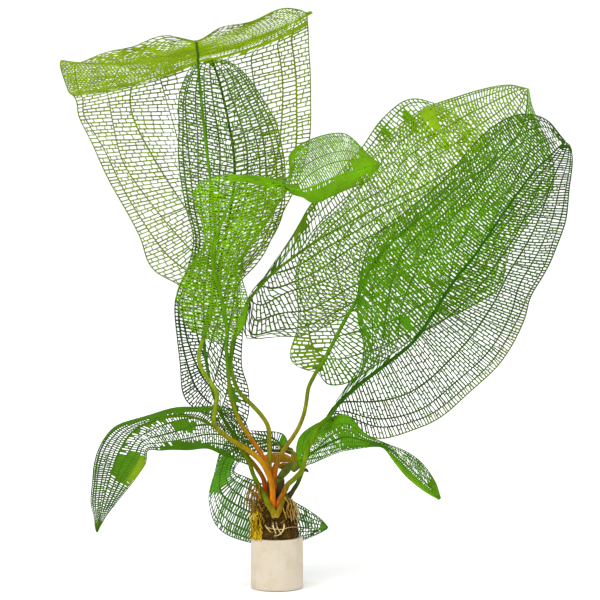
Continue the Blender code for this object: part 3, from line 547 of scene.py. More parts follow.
# Long veins between the midrib and the margin: where they lie and leave the midrib, how far along they
# reach their places, and how they wander
SEAT_POWER, BRANCH_POWER = 1.4, 0.9
BRANCH_SPREAD, SPREAD_POWER = 0.25, 2.2
DRIFT, DRIFT_WAVES, QUICK_SHARE = 0.028, (1.7, 4.3), 0.5
# Half widths: a long vein's at the tip and how much more at the base, as shares of its own, the margin's,
# and the midrib's as a share of its radius
TIP_HALF, BASE_HALF, MARGIN_HALF, RIB_INSIDE = 0.8, 0.45, 0.5, 0.8
# How many points measure a long vein and a strip
LINE_SAMPLES, STRIP_SAMPLES = 80, 240
# Cross veins: where the first and last lie, how their spacing, thickness, place and bow vary
FIRST_RUNG, LAST_RUNG, RUNG_VARIES = (0.4, 1.0), 0.4, (0.84, 1.16)
HALF_VARIES, SWAY, BOW = (0.85, 1.2), 0.06, 1.5
BESIDE_RIB, COARSE_BOLD, NARROWEST = 1.15, 0.5, 0.1
# Ticks: how they shift from row to row, how their number, place and tilt vary, and which are left out
TICK_SHIFT, COUNT_VARIES, PLACE_VARIES, TICK_TILT = (0.35, 0.65), 0.3, 0.12, 0.07
TICK_MARGIN, LONE_LEFT_OUT, RIB_TICKS = 0.9, 0.6, 1.6
# Veins that meet a long vein or a cross vein closer than this share one vertex, and no tick meets a cross
# vein nearer its ends than the last
SNAP, RUNG_SNAP, RUNG_ENDS = 0.42, 0.336, 0.02
# How steep a patch's edge is, how the thickness in it varies, and how far it turns to tissue's colour
PATCH_EDGE, DENSE_VARIES, DENSE_TISSUE = 2.5, (0.8, 1.1), 1.8
# Thickness of long veins, cross veins and tissue, and how a hole is drawn in from its cell
LINE_THICK, RUNG_THICK, TISSUE_THICK = 0.27, 0.19, 0.10
INSET_TRIES, THINNER, SMALLEST_HOLE, SHORTEST_SIDE = 4, 0.72, 0.10, 0.04
STRAIGHT_DET, STRAIGHT_COSINE, MOST_MOVE = 0.12, -0.95, 2.2
CORNER_CUT, CUT_SHARE, SHARP_TURN = 0.30, 0.3, 0.75

# Colours are display values of red, green and blue, from 0 to 255. Light rises with this power of them.
GAMMA = 2.2
# Along each blade from base to tip, and of the closed tissue between its veins
BLADE_COLOURS = {
    "floating_leaf": [
        (0.0, (125, 155, 30)), (0.35, (140, 168, 20)), (0.56, (145, 174, 12)), (0.62, (150, 182, 5)),
        (0.83, (152, 184, 8)), (0.90, (135, 162, 15)),
    ],
    "tall_leaf": [(0.0, (58, 82, 45)), (0.30, (58, 90, 35)), (0.5, (94, 142, 26)), (1.0, (96, 142, 14))],
    "folded_leaf": [
        (0.0, (116, 166, 22)), (0.45, (138, 194, 8)), (0.6, (120, 178, 5)), (1.0, (130, 176, 10)),
    ],
    "broad_leaf": [(0.0, (66, 112, 8)), (0.5, (88, 142, 2)), (0.8, (84, 134, 4)), (1.0, (56, 96, 12))],
    "middle_leaf": [(0.0, (84, 112, 30)), (0.25, (116, 158, 15)), (0.5, (138, 188, 5)), (1.0, (132, 172, 8))],
    "rear_leaf": [(0.0, (95, 132, 35)), (0.3, (118, 158, 25)), (0.6, (130, 174, 12)), (1.0, (118, 164, 12))],
    "left_arching_leaf": [(0.0, (72, 112, 6)), (0.5, (74, 112, 10)), (1.0, (66, 104, 10))],
    "right_arching_leaf": [(0.0, (88, 138, 2)), (0.5, (74, 124, 2)), (1.0, (86, 132, 4))],
    "curled_leaf": [(0.0, (78, 108, 25)), (0.4, (82, 132, 26)), (0.6, (90, 126, 66)), (1.0, (82, 126, 44))],
}
# The same on the right half of the blade, where it differs
RIGHT_COLOURS = {
    "tall_leaf": [(0.0, (62, 85, 40)), (0.5, (102, 148, 24)), (1.0, (106, 150, 14))],
    "broad_leaf": [(0.0, (66, 102, 12)), (0.5, (72, 112, 8)), (0.8, (68, 108, 6)), (1.0, (54, 90, 16))],
    "middle_leaf": [(0.0, (82, 110, 30)), (0.3, (118, 172, 12)), (0.5, (146, 206, 6)), (1.0, (142, 190, 10))],
    "rear_leaf": [(0.0, (78, 104, 42)), (0.3, (108, 144, 34)), (0.6, (122, 166, 14)), (1.0, (116, 162, 10))],
}
# Along the right margin, from a place across the blade outwards
EDGE_COLOURS = {
    "broad_leaf": (0.96, [(0.0, (122, 148, 35)), (0.42, (112, 138, 30)), (0.55, (66, 104, 8))]),
    "left_arching_leaf": (
        0.76, [(0.53, (68, 112, 8)), (0.58, (132, 166, 22)), (0.70, (124, 160, 20)), (0.74, (62, 102, 8))],
    ),
    "right_arching_leaf": (0.70, [(0.62, (80, 130, 4)), (0.72, (118, 168, 10)), (1.0, (112, 160, 8))]),
}
EDGE_BLEND = 0.10
# Beside the midrib, between two places across the blade
INNER_COLOURS = {
    "floating_leaf": (-0.34, 0.55, [(0.10, (112, 146, 34)), (0.55, (116, 150, 34)), (0.58, (150, 182, 5))]),
}
INNER_BLEND = 0.12
# Across the blade, where the left half's colours blend into the right half's
HALVES_BLEND = (-0.1, 0.1)
# How far long veins take on their darker colour
VEIN_SHADE, VEIN_COLOUR = 0.40, (170, 190, 150)
TISSUE_COLOURS = {
    "floating_leaf": (154, 186, 8),
    "tall_leaf": (80, 140, 12),
    "folded_leaf": (106, 164, 5),
    "broad_leaf": (84, 150, 6),
    "middle_leaf": (140, 178, 14),
    "rear_leaf": (92, 148, 14),
    "left_arching_leaf": (82, 136, 10),
    "right_arching_leaf": (102, 162, 10),
    "curled_leaf": (104, 180, 32),
}
# The same on the right half of the blade, where it differs
RIGHT_TISSUE = {"middle_leaf": (124, 202, 6)}
# Along each stalk from the crown to the blade, 0 to 1, and on along its midrib to the tip, 1 to 2
STALK_COLOURS = {
    "floating_leaf": [
        (0.0, (185, 92, 18)), (0.15, (190, 115, 20)), (0.30, (155, 118, 18)), (0.45, (112, 115, 20)),
        (0.8, (125, 150, 30)), (1.0, (100, 145, 25)), (1.5, (80, 130, 15)), (1.65, (40, 92, 0)),
        (2.0, (52, 98, 5)),
    ],
    "tall_leaf": [
        (0.0, (150, 50, 12)), (0.3, (185, 70, 20)), (0.6, (135, 90, 15)), (0.9, (110, 105, 12)),
        (1.0, (85, 105, 10)), (1.1, (60, 98, 22)), (1.4, (45, 96, 8)), (2.0, (34, 84, 6)),
    ],
    "folded_leaf": [
        (0.0, (175, 62, 15)), (0.2, (188, 85, 22)), (0.42, (155, 108, 28)), (0.6, (108, 118, 20)),
        (0.9, (68, 112, 12)), (1.05, (80, 125, 10)), (1.5, (98, 152, 5)), (2.0, (100, 155, 8)),
    ],
    "broad_leaf": [
        (0.0, (185, 80, 30)), (0.15, (165, 95, 32)), (0.35, (110, 108, 18)), (0.6, (108, 135, 12)),
        (1.0, (68, 108, 5)), (1.06, (42, 84, 0)), (1.6, (40, 88, 0)), (2.0, (42, 80, 8)),
    ],
    "middle_leaf": [
        (0.0, (150, 50, 10)), (0.12, (205, 88, 15)), (0.26, (188, 98, 20)), (0.38, (132, 108, 26)),
        (0.65, (130, 128, 30)), (1.0, (90, 118, 20)), (1.15, (85, 130, 20)), (1.4, (65, 122, 5)),
        (2.0, (85, 135, 15)),
    ],
    "rear_leaf": [
        (0.0, (135, 90, 15)), (0.2, (122, 118, 22)), (0.4, (125, 128, 25)), (0.6, (88, 115, 20)),
        (1.0, (80, 120, 18)), (1.5, (98, 145, 25)), (2.0, (85, 125, 25)),
    ],
    "left_arching_leaf": [
        (0.0, (156, 134, 56)), (0.08, (132, 114, 26)), (0.25, (112, 106, 16)), (0.5, (92, 112, 14)),
        (0.8, (78, 108, 6)), (1.0, (92, 108, 8)), (1.4, (66, 104, 8)), (2.0, (60, 98, 10)),
    ],
    "right_arching_leaf": [
        (0.0, (156, 134, 56)), (0.08, (128, 106, 20)), (0.25, (114, 92, 16)), (0.5, (88, 80, 15)),
        (0.8, (58, 80, 15)), (1.0, (72, 105, 12)), (1.3, (52, 96, 12)), (2.0, (62, 108, 10)),
    ],
    "curled_leaf": [
        (0.0, (60, 50, 10)), (0.3, (82, 92, 18)), (0.6, (140, 118, 20)), (0.85, (125, 100, 16)),
        (1.0, (85, 95, 20)), (1.15, (80, 112, 30)), (1.5, (66, 100, 30)), (2.0, (60, 95, 20)),
    ],
}
# Stalk radius at the crown and at the blade, and the midrib's radius past the blade's base and at its tip
STALK_RADII = {
    "floating_leaf": (1.55, 1.05, 0.85, 0.6),
    "tall_leaf": (1.4, 1.1, 0.95, 0.55),
    "folded_leaf": (1.5, 1.0, 1.0, 0.35),
    "broad_leaf": (1.35, 1.2, 1.15, 0.32),
    "middle_leaf": (1.4, 1.0, 1.1, 0.32),
    "rear_leaf": (1.3, 0.95, 0.9, 0.25),
    "left_arching_leaf": (1.8, 1.1, 0.9, 0.25),
    "right_arching_leaf": (1.5, 1.1, 0.8, 0.25),
    "curled_leaf": (1.8, 1.9, 0.8, 0.25),
}
# Stalk skin: how its streaks are stretched, and the painted shade that darkens its sides below the blade: how
# strong, and towards what colour
STREAKS = Vector((1000.0, 1000.0, 90.0))
PAINTED_RIM_SHADE, PAINTED_RIM_SHADE_COLOUR = 0.6, (60, 48, 4)
# How much wider some stalks swell near the crown, how far along them, and over what length
FLARES = {"middle_leaf": (0.75, 13.0, 9.0), "tall_leaf": (0.4, 9.0, 8.0)}
# Thickness as a share of the width, of the flat stalks and of all others
STRAP_FLAT = {"curled_leaf": 0.35, "left_arching_leaf": 0.7, "right_arching_leaf": 0.7}
ROUND_STALK_FLAT = 0.85
# The range of noise that shades a colour
CLOUD_RANGE = (0.3, 0.7)
# The holder's clouds, and the old bases, strands and roots from dark to light
CERAMIC_COLOURS = [(0.25, (186, 172, 146)), (0.5, (202, 190, 170)), (0.8, (206, 192, 182))]
OLD_BASE_COLOURS = [(0.0, (48, 44, 8)), (0.2, (66, 72, 6)), (0.5, (84, 100, 4)), (1.0, (150, 108, 8))]
PLUG_COLOURS = [(0.0, (30, 22, 8)), (0.35, (62, 46, 12)), (0.7, (98, 72, 22)), (1.0, (150, 112, 45))]
TUFT_COLOURS = [(0.0, (96, 76, 12)), (0.4, (180, 146, 16)), (0.75, (226, 190, 26)), (1.0, (240, 212, 80))]
ROOT_COLOURS = [(0.0, (58, 40, 14)), (0.35, (116, 82, 20)), (0.7, (174, 136, 56)), (1.0, (220, 198, 140))]

# Camera, floor, sun and sky
CLIP_START = 0.01
FLOOR_SIDES = 64
FLOOR_RADIUS, FLOOR_DROP, FLOOR_COLOUR = 6.0, 0.0002, (0.92, 0.92, 0.92, 1.0)
SUN_STRENGTH, SUN_WIDTH, SUN_FROM = 1.3, 50, (-0.45, -0.75, 1.0)
WORLD_STRENGTH = 1.1


# Curves and surfaces


def placed(points):
    """Leaf points (across, height, depth) carried along the line of sight to their depth, in millimetres."""
    across, height, depth = np.asarray(points, float).T
    reach = (EYE_DISTANCE + depth) / EYE_DISTANCE
    right = EYE_ACROSS + (across - EYE_ACROSS) * reach
    up = EYE_HEIGHT + (height - EYE_HEIGHT) * reach
    return np.stack([right, depth, up], axis=1)


def spline(points, t):
    """The points at each t, from 0 to 1, on the smooth curve through points."""
    points = np.asarray(points, float)
    spans = len(points) - 1
    ends = np.vstack([2 * points[0] - points[1], points, 2 * points[-1] - points[-2]])
    place = np.clip(np.asarray(t, float), 0.0, 1.0) * spans
    i = np.minimum(place.astype(int), spans - 1)
    f = (place - i)[:, None]
    a, b, c, d = (ends[i + k] for k in range(4))
    bend = a * 2 - b * 5 + c * 4 - d
    return (b * 2 + (c - a) * f + bend * f**2 + (b * 3 - a - c * 3 + d) * f**3) / 2


def unit(vectors):
    length = np.linalg.norm(vectors, axis=-1, keepdims=True)
    return vectors / np.maximum(length, TINY)


def path_length(path):
    return np.linalg.norm(np.diff(path, axis=0), axis=1).sum()


def looked_up(table, place, column=1):
    """The value at a place in a table whose rows each start with their own place."""
    return np.interp(place, [row[0] for row in table], [row[column] for row in table])


def blade_points(leaf, u, v):
    """The points of the blade's middle surface at u across, from -1 to 1, and v along, from 0 to 1."""
    left, middle, right = (spline(line, v) for line in leaf["margins"])
    side = (u >= 0)[:, None]
    out = np.where(side, right, left) - middle
    along = spline(leaf["margins"][1], v + BLADE_STEP) - spline(leaf["margins"][1], v - BLADE_STEP)
    facing = unit(np.where(side, np.cross(out, along), np.cross(along, out)))
    share = np.abs(u)
    camber = np.where(u >= 0, leaf["camber"][1], leaf["camber"][0])
    bow = 4 * camber * np.linalg.norm(out, axis=1) * share * (1 - share)
    height, waves = leaf["ruffle"]
    fade = 1 - (2 * v - 1) ** RUFFLE_FADE
    phase = RIGHT_RUFFLE_PHASE * (u >= 0)
    bow += height * share**RUFFLE_REACH * fade * np.sin(math.tau * waves * v + phase)
    return middle + out * share[:, None] + facing * bow[:, None]


def blade_normals(leaf, u, v):
    """The blade's normals, on the side that faces the viewer."""
    v = np.clip(v, *NORMAL_ENDS)
    du, dv = NORMAL_STEP
    across = blade_points(leaf, np.clip(u + du, -1, 1), v) - blade_points(leaf, np.clip(u - du, -1, 1), v)
    along = blade_points(leaf, u, v + dv) - blade_points(leaf, u, v - dv)
    return unit(np.cross(across, along))


# Meshes and pieces


def add_object(name, data):
    made = bpy.data.objects.new(name, data)
    bpy.context.scene.collection.objects.link(made)
    return made


def link(mesh, slot_name, material, *replaced):
    """A finished piece: in the scene, on the body, with its material, and with the CAD nodes that it stands
    for hidden; its slot name is not used.
    """
    piece = add_object(mesh.name, mesh)
    mesh.materials.append(material)
    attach(piece, "root")
    if replaced:
        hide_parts(*replaced)


def mesh_from(name, points, faces, values=None):
    """A smooth mesh of points in millimetres, with named numbers on its points."""
    mesh = bpy.data.meshes.new(name)
    mesh.from_pydata((np.asarray(points) * MM).tolist(), [], faces)
    for key, numbers in (values or {}).items():
        mesh.attributes.new(key, "FLOAT", "POINT").data.foreach_set("value", np.asarray(numbers, np.float32))
    mesh.update()
    mesh.shade_smooth()
    return mesh


def ring_faces(first, rings, sides):
    """The faces between rings of points that follow each other from the first point on."""
    faces = []
    for low in range(first, first + (rings - 1) * sides, sides):
        for k in range(sides):
            n = (k + 1) % sides
            faces.append((low + k, low + n, low + sides + n, low + sides + k))
    return faces


class Tubes:
    """Many closed strands, gathered for one mesh."""

    def __init__(self):
        self.points, self.faces, self.along, self.tint = [], [], [], []
        self.count = 0

    def add(self, path, radii, sides, flat=1.0, tint=0.0, along=None):
        """One strand, with a radius at each point of its path."""
        ahead = unit(np.gradient(path, axis=0))
        start = np.cross(ahead[0], (0.0, 1.0, 0.0))
        if np.linalg.norm(start) < LEAST_SLANT:
            start = np.cross(ahead[0], (1.0, 0.0, 0.0))
        normal = unit(start)
        turns = np.arange(sides) * math.tau / sides
        rings = []
        for k, direction in enumerate(ahead):
            normal = unit(normal - direction * np.dot(normal, direction))
            other = np.cross(direction, normal)
            ring = np.outer(np.cos(turns), normal) + np.outer(np.sin(turns) * flat, other)
            rings.append(path[k] + ring * radii[k])
        self.points += [np.concatenate(rings), path[:1], path[-1:]]
        first, steps = self.count, len(path)
        self.faces += ring_faces(first, steps, sides)
        near = first + steps * sides
        last = near - sides
        for m in range(sides):
            n = (m + 1) % sides
            self.faces += [(near, first + n, first + m), (near + 1, last + m, last + n)]
        share = np.linspace(0, 1, steps) if along is None else along
        self.along += [np.repeat(share, sides), share[[0, -1]]]
        self.tint.append(np.full(steps * sides + 2, tint))
        self.count += steps * sides + 2

    def mesh(self, name):
        values = {"along": np.concatenate(self.along), "tint": np.concatenate(self.tint)}
        return mesh_from(name, np.concatenate(self.points), self.faces, values)


# The vein net


class VeinNet:
    """A planar net in blade coordinates: vertices at u and v, and the cells between the veins."""

    def __init__(self, leaf, style):
        self.leaf, self.style = leaf, style
        self.line_half_width, self.rung_half, self.tick_half = style["half"]
        self.u, self.v, self.thick = [], [], []
        self.cells, self.halves, self.filled, self.dense = [], [], [], []
        rib, strips = self.make_line(0.0, 0.0, None), []
        for side, veins in zip((-1, 1), style["strips"]):
            if isinstance(veins, int):
                left = [1 - k / veins for k in range(1, veins)]
                veins = [(1 - s**SEAT_POWER, style["branch"] * s**BRANCH_POWER) for s in left]
            lines = [rib]
            for seat, leaves_at in veins + [(1.0, 0.0)]:
                lines.append(self.make_line(side * seat, leaves_at, rib))
            for near, far in zip(lines, lines[1:]):
                a, b = (far, near) if side < 0 else (near, far)
                strips.append(self.make_strip(a, b, far["from"]))
        for strip in strips:
            self.make_cells(*strip)

    def vertex(self, u, v, thick):
        self.u.append(u)
        self.v.append(v)
        self.thick.append(thick)
        return len(self.u) - 1

    def make_line(self, seat, leaves_at, rib):
        """A long vein that leaves the midrib at leaves_at and runs near u = seat to the blade's tip."""
        margin = abs(seat) == 1
        inner = not margin and rib is not None
        line = {"seat": seat, "from": leaves_at, "rib": rib, "margin": margin, "stops": []}
        line["drift"] = DRIFT if inner else 0.0
        line["phases"] = rng.uniform(0, math.tau, 2)
        if inner:
            line["seat"] += rng.uniform(-DRIFT, DRIFT)
        v = np.linspace(leaves_at, 1, LINE_SAMPLES)
        line["length"] = path_length(self.on_line(line, v)) / (1 - leaves_at)
        line["half"] = self.line_half_width * rng.uniform(*HALF_VARIES)
        if margin:
            line["half"] = MARGIN_HALF
        if inner:
            line["from"], first = self.stop(rib, leaves_at)
            line["stops"].append((line["from"], first))
        else:
            line["stops"].append((0.0, self.vertex(line["seat"], 0.0, LINE_THICK)))
        line["stops"].append((1.0, self.vertex(line["seat"], 1.0, LINE_THICK)))
        return line

    def line_u(self, line, v):
        """Where a long vein lies across the blade at v."""
        spread = np.ones_like(v)
        if line["from"] > 0:
            spread = np.clip((v - line["from"]) / self.style.get("spread", BRANCH_SPREAD), 0, 1)
        spread = 1 - (1 - spread) ** SPREAD_POWER
        slow, quick = (np.sin(math.tau * n * v + phase) for n, phase in zip(DRIFT_WAVES, line["phases"]))
        turned = np.clip((v - FOLD_FROM) / (FOLD_TO - FOLD_FROM), 0, 1)
        skew = 0.0 if line["margin"] else self.style.get("skew", 0.0)
        aslant = skew * math.sin(math.pi * abs(line["seat"])) * turned
        drift = line["drift"] * (slow + QUICK_SHARE * quick) * np.sin(math.pi * v)
        return (line["seat"] + drift + aslant) * spread

    def on_line(self, line, v):
        return blade_points(self.leaf, self.line_u(line, v), v)

    def row_v(self, line, row):
        """Where the cross vein of a row meets a long vein: further along where the rows lean."""
        return row + self.lean(line["seat"], row) * np.abs(self.line_u(line, row))

    def lean(self, side, v):
        """How much further along than at the midrib the cross veins end, on the left or right half."""
        return looked_up(self.style["lean"][0 if side < 0 else 1], v)

    def spacing(self, u, v, kind):
        """The factor of the spacing at a place on the blade: kind 1 for cross veins and 2 for ticks."""
        factor = looked_up(self.style["coarse"], v, kind)
        return np.where(v > looked_up(self.style.get("arcs", NO_ARCS), u), ARC_COARSE[kind - 1], factor)

    def stop(self, line, v):
        """The vertex where a cross vein meets the line at v, shared with one that already meets it there."""
        if v < line["from"] - TINY:
            return self.stop(line["rib"], v)
        near = min(line["stops"], key=lambda s: abs(s[0] - v))
        if abs(near[0] - v) < SNAP / line["length"]:
            return near
        made = (v, self.vertex(float(self.line_u(line, np.float64(v))), v, LINE_THICK))
        line["stops"].append(made)
        return made

    def stops_between(self, line, low, high):
        """The line's stops between two places, on the midrib before the line has left it."""
        found = {s for s in line["stops"] if low < s[0] < high}
        if line["rib"] is not None and low < line["from"]:
            found |= {s for s in line["rib"]["stops"] if low < s[0] < min(high, line["from"])}
        return sorted(found)

    def make_strip(self, a, b, start_v):
        """The cross veins of one strip, and the ticks between each two."""
        beside_rib = a["rib"] is None or b["rib"] is None
        at = np.linspace(start_v, 1, STRIP_SAMPLES)
        edge_a, edge_b = (self.on_line(line, self.row_v(line, at)) for line in (a, b))
        across = edge_b - edge_a
        along = np.diff((edge_a + edge_b) / 2, axis=0)
        middle = (self.line_u(a, at) + self.line_u(b, at)) / 2
        fine = self.spacing(middle, at, 1) * (self.style.get("beside", BESIDE_RIB) if beside_rib else 1.0)
        columns = np.stack([at, fine, self.spacing(middle, at, 2), np.linalg.norm(across, axis=1)], axis=1)
        step = np.linalg.norm(np.cross(unit(across)[1:], along), axis=1) / fine[1:]
        run = np.concatenate([[0], np.cumsum(step)])
        spacing = self.style["rung"]
        place, rows = spacing * rng.uniform(*FIRST_RUNG), []
        while place < run[-1] - spacing * LAST_RUNG:
            rows.append(float(np.interp(place, run, at)))
            place += spacing * rng.uniform(*RUNG_VARIES)
        rungs = []
        sway = spacing / max(run[-1], spacing) * (1 - start_v) * SWAY
        for row in [start_v] + rows + [1.0]:
            self.add_rung(rungs, a, b, row, start_v, sway if start_v < row < 1.0 else 0.0, columns)
        self.add_ticks(rungs, a, b, beside_rib)
        return a, b, rungs

    def add_rung(self, rungs, a, b, row, start_v, sway, columns):
        """The cross vein of a row, unless it would cross or double the one before; an end row has no sway."""
        fine, brick, width = (float(np.interp(row, columns[:, 0], columns[:, k])) for k in (1, 2, 3))
        places = [float(self.row_v(line, row)) if sway else row for line in (a, b)]
        sway *= fine
        start, end = (
            self.stop(line, min(max(place + rng.uniform(-sway, sway), start_v), 1.0))
            for line, place in zip((a, b), places)
        )
        if rungs:
            before = rungs[-1]
            crossed = start[0] < before["start"][0] or end[0] < before["end"][0]
            if crossed or (start == before["start"] and end == before["end"]):
                return
        bold = 1 + COARSE_BOLD * max(fine - 1, 0.0)
        rungs.append({
            "start": start, "end": end, "stops": [(0.0, start[1]), (1.0, end[1])], "ticks": [],
            "bow": rng.uniform(-BOW, BOW) * sway, "width": max(width, NARROWEST),
            "half": self.rung_half * rng.uniform(*HALF_VARIES) * bold,
            "tick": self.tick_half * bold, "brick": self.style["brick"] * brick,
        })

    def add_ticks(self, rungs, a, b, beside_rib):
        """The short veins between each two cross veins of a strip, set off from those of the row before."""
        phase = 0.0
        for low, high in zip(rungs, rungs[1:]):
            phase += rng.uniform(*TICK_SHIFT)
            mean = (low["width"] + high["width"]) / 2
            bricks = max(1, round(mean / low["brick"] + rng.uniform(-COUNT_VARIES, COUNT_VARIES)))
            margin = TICK_MARGIN / mean
            for k in range(bricks):
                s = (k + phase % 1.0) / bricks + rng.uniform(-PLACE_VARIES, PLACE_VARIES) / bricks
                if bricks == 1 and rng.random() < LONE_LEFT_OUT or not margin < s < 1 - margin:
                    continue
                if beside_rib and rng.random() > (s if a["rib"] is None else 1 - s) * RIB_TICKS:
                    continue
                tilt = rng.uniform(-TICK_TILT, TICK_TILT) / bricks
                below = self.rung_stop(a, b, low, s - tilt)
                above = self.rung_stop(a, b, high, s + tilt)
                before = low["ticks"][-1] if low["ticks"] else None
                if before and (below[0] <= before[0][0] or above[0] <= before[1][0]):
                    continue
                low["ticks"].append((below, above))

    def rung_stop(self, a, b, rung, s):
        """The vertex on a cross vein at s, from 0 at its start to 1 at its end."""
        s = min(max(s, RUNG_ENDS), 1 - RUNG_ENDS)
        near = min(rung["stops"], key=lambda x: abs(x[0] - s))
        if abs(near[0] - s) < RUNG_SNAP / rung["width"]:
            return near
        v = rung["start"][0] + (rung["end"][0] - rung["start"][0]) * s + rung["bow"] * 4 * s * (1 - s)
        across = np.float64(v)
        u = float(self.line_u(a, across)) * (1 - s) + float(self.line_u(b, across)) * s
        made = (s, self.vertex(u, v, RUNG_THICK))
        rung["stops"].append(made)
        return made

    def line_half(self, line, v):
        """Half the width of a long vein; the midrib's lies inside the rib that runs along it."""
        if line["rib"] is None or v < line["from"]:
            return RIB_INSIDE * rib_radius(self.leaf["radii"], v)
        if line["margin"]:
            return line["half"]
        return line["half"] * (TIP_HALF + BASE_HALF * (1 - v))

    def make_cells(self, a, b, rungs):
        """The cells between the cross veins and ticks of one strip."""
        for rung in rungs:
            rung["stops"].sort()
        for low, high in zip(rungs, rungs[1:]):
            walls = [((0.0, low["start"][1]), (0.0, high["start"][1]), a)]
            walls += [(below, above, None) for below, above in low["ticks"]]
            walls.append(((1.0, low["end"][1]), (1.0, high["end"][1]), b))
            for near, far in zip(walls, walls[1:]):
                floor = [s[1] for s in low["stops"] if near[0][0] <= s[0] <= far[0][0]]
                roof = [s[1] for s in high["stops"] if near[1][0] <= s[0] <= far[1][0]]
                up, up_halves = self.climb(far[2], low["end"], high["end"], low["tick"])
                down, down_halves = self.climb(near[2], low["start"], high["start"], low["tick"])
                halves = [low["half"]] * (len(floor) - 1) + up_halves
                halves += [high["half"]] * (len(roof) - 1) + down_halves[::-1]
                self.add_cell(floor + up + roof[::-1] + down[::-1], halves)

    def climb(self, line, low, high, tick):
        """A cell's side between its lower and upper cross veins: the vertices between, and half widths."""
        if line is None:
            return [], [tick]
        between = self.stops_between(line, low[0], high[0])
        places = [low[0]] + [s[0] for s in between] + [high[0]]
        halves = [self.line_half(line, (p + q) / 2) for p, q in zip(places, places[1:])]
        return [s[1] for s in between], halves

    def add_cell(self, ids, halves):
        """Keeps one cell, and draws whether tissue closes it and how thick its veins are."""
        pairs = [(i, half) for i, after, half in zip(ids, ids[1:] + ids[:1], halves) if i != after]
        kept = [i for i, _ in pairs]
        if len(set(kept)) < 3:
            return
        u = sum(self.u[i] for i in kept) / len(kept)
        v = sum(self.v[i] for i in kept) / len(kept)
        row = v - float(self.lean(u, v)) * abs(u)

        def inside(middle_u, middle_row, reach_u, reach_row):
            """1 at a patch's centre, 0 on its rim and less beyond."""
            return 1 - (((u - middle_u) / reach_u) ** 2 + ((row - middle_row) / reach_row) ** 2)

        closed, thicker = False, 1.0
        for *patch, share in self.style["solid"]:
            closed |= rng.random() < share * inside(*patch) * PATCH_EDGE
        for *patch, growth in self.style.get("dense", []):
            weight = min(max(inside(*patch) * PATCH_EDGE, 0.0), 1.0)
            thicker *= 1 + (growth - 1) * weight * rng.uniform(*DENSE_VARIES)
        self.dense.append(min(max(thicker - 1, 0.0) * DENSE_TISSUE, 1.0))
        self.cells.append(kept)
        self.halves.append([half * thicker for _, half in pairs])
        self.filled.append(closed)


def inset(point, half, cell, before, after, cells):
    """The corners of the holes: each cell drawn in by its veins, and less where its hole would close."""
    edge = point[after] - point
    direction = unit(edge)
    face_normal = np.zeros((cells, 3))
    np.add.at(face_normal, cell, np.cross(point, point[after]))
    face_normal = unit(face_normal)
    inward = unit(np.cross(face_normal[cell], direction))
    scale = np.ones(cells)
    for _ in range(INSET_TRIES):
        w2 = half * scale[cell]
        w1 = w2[before]
        m1, m2 = inward[before], inward
        cosine = (m1 * m2).sum(axis=1)
        det = 1 - cosine**2
        straight = (det < STRAIGHT_DET) | (cosine < STRAIGHT_COSINE)
        safe = np.where(straight, 1.0, det)
        move = m1 * ((w1 - cosine * w2) / safe)[:, None] + m2 * ((w2 - cosine * w1) / safe)[:, None]
        mean = unit(m1 + m2) * ((w1 + w2) / 2)[:, None]
        move = np.where(straight[:, None], mean, move)
        reach = np.linalg.norm(move, axis=1)
        most = MOST_MOVE * np.maximum(w1, w2)
        move *= np.minimum(1.0, most / np.maximum(reach, TINY))[:, None]
        inner = point + move
        run = ((inner[after] - inner) * direction).sum(axis=1)
        closes = np.zeros(cells, bool)
        np.logical_or.at(closes, cell, run < SHORTEST_SIDE)
        area = np.zeros((cells, 3))
        np.add.at(area, cell, np.cross(inner, inner[after]) / 2)
        closes |= (area * face_normal).sum(axis=1) < SMALLEST_HOLE
        scale = np.where(closes, scale * THINNER, scale)
        if not closes.any():
            break
    return inner, direction, face_normal, closes


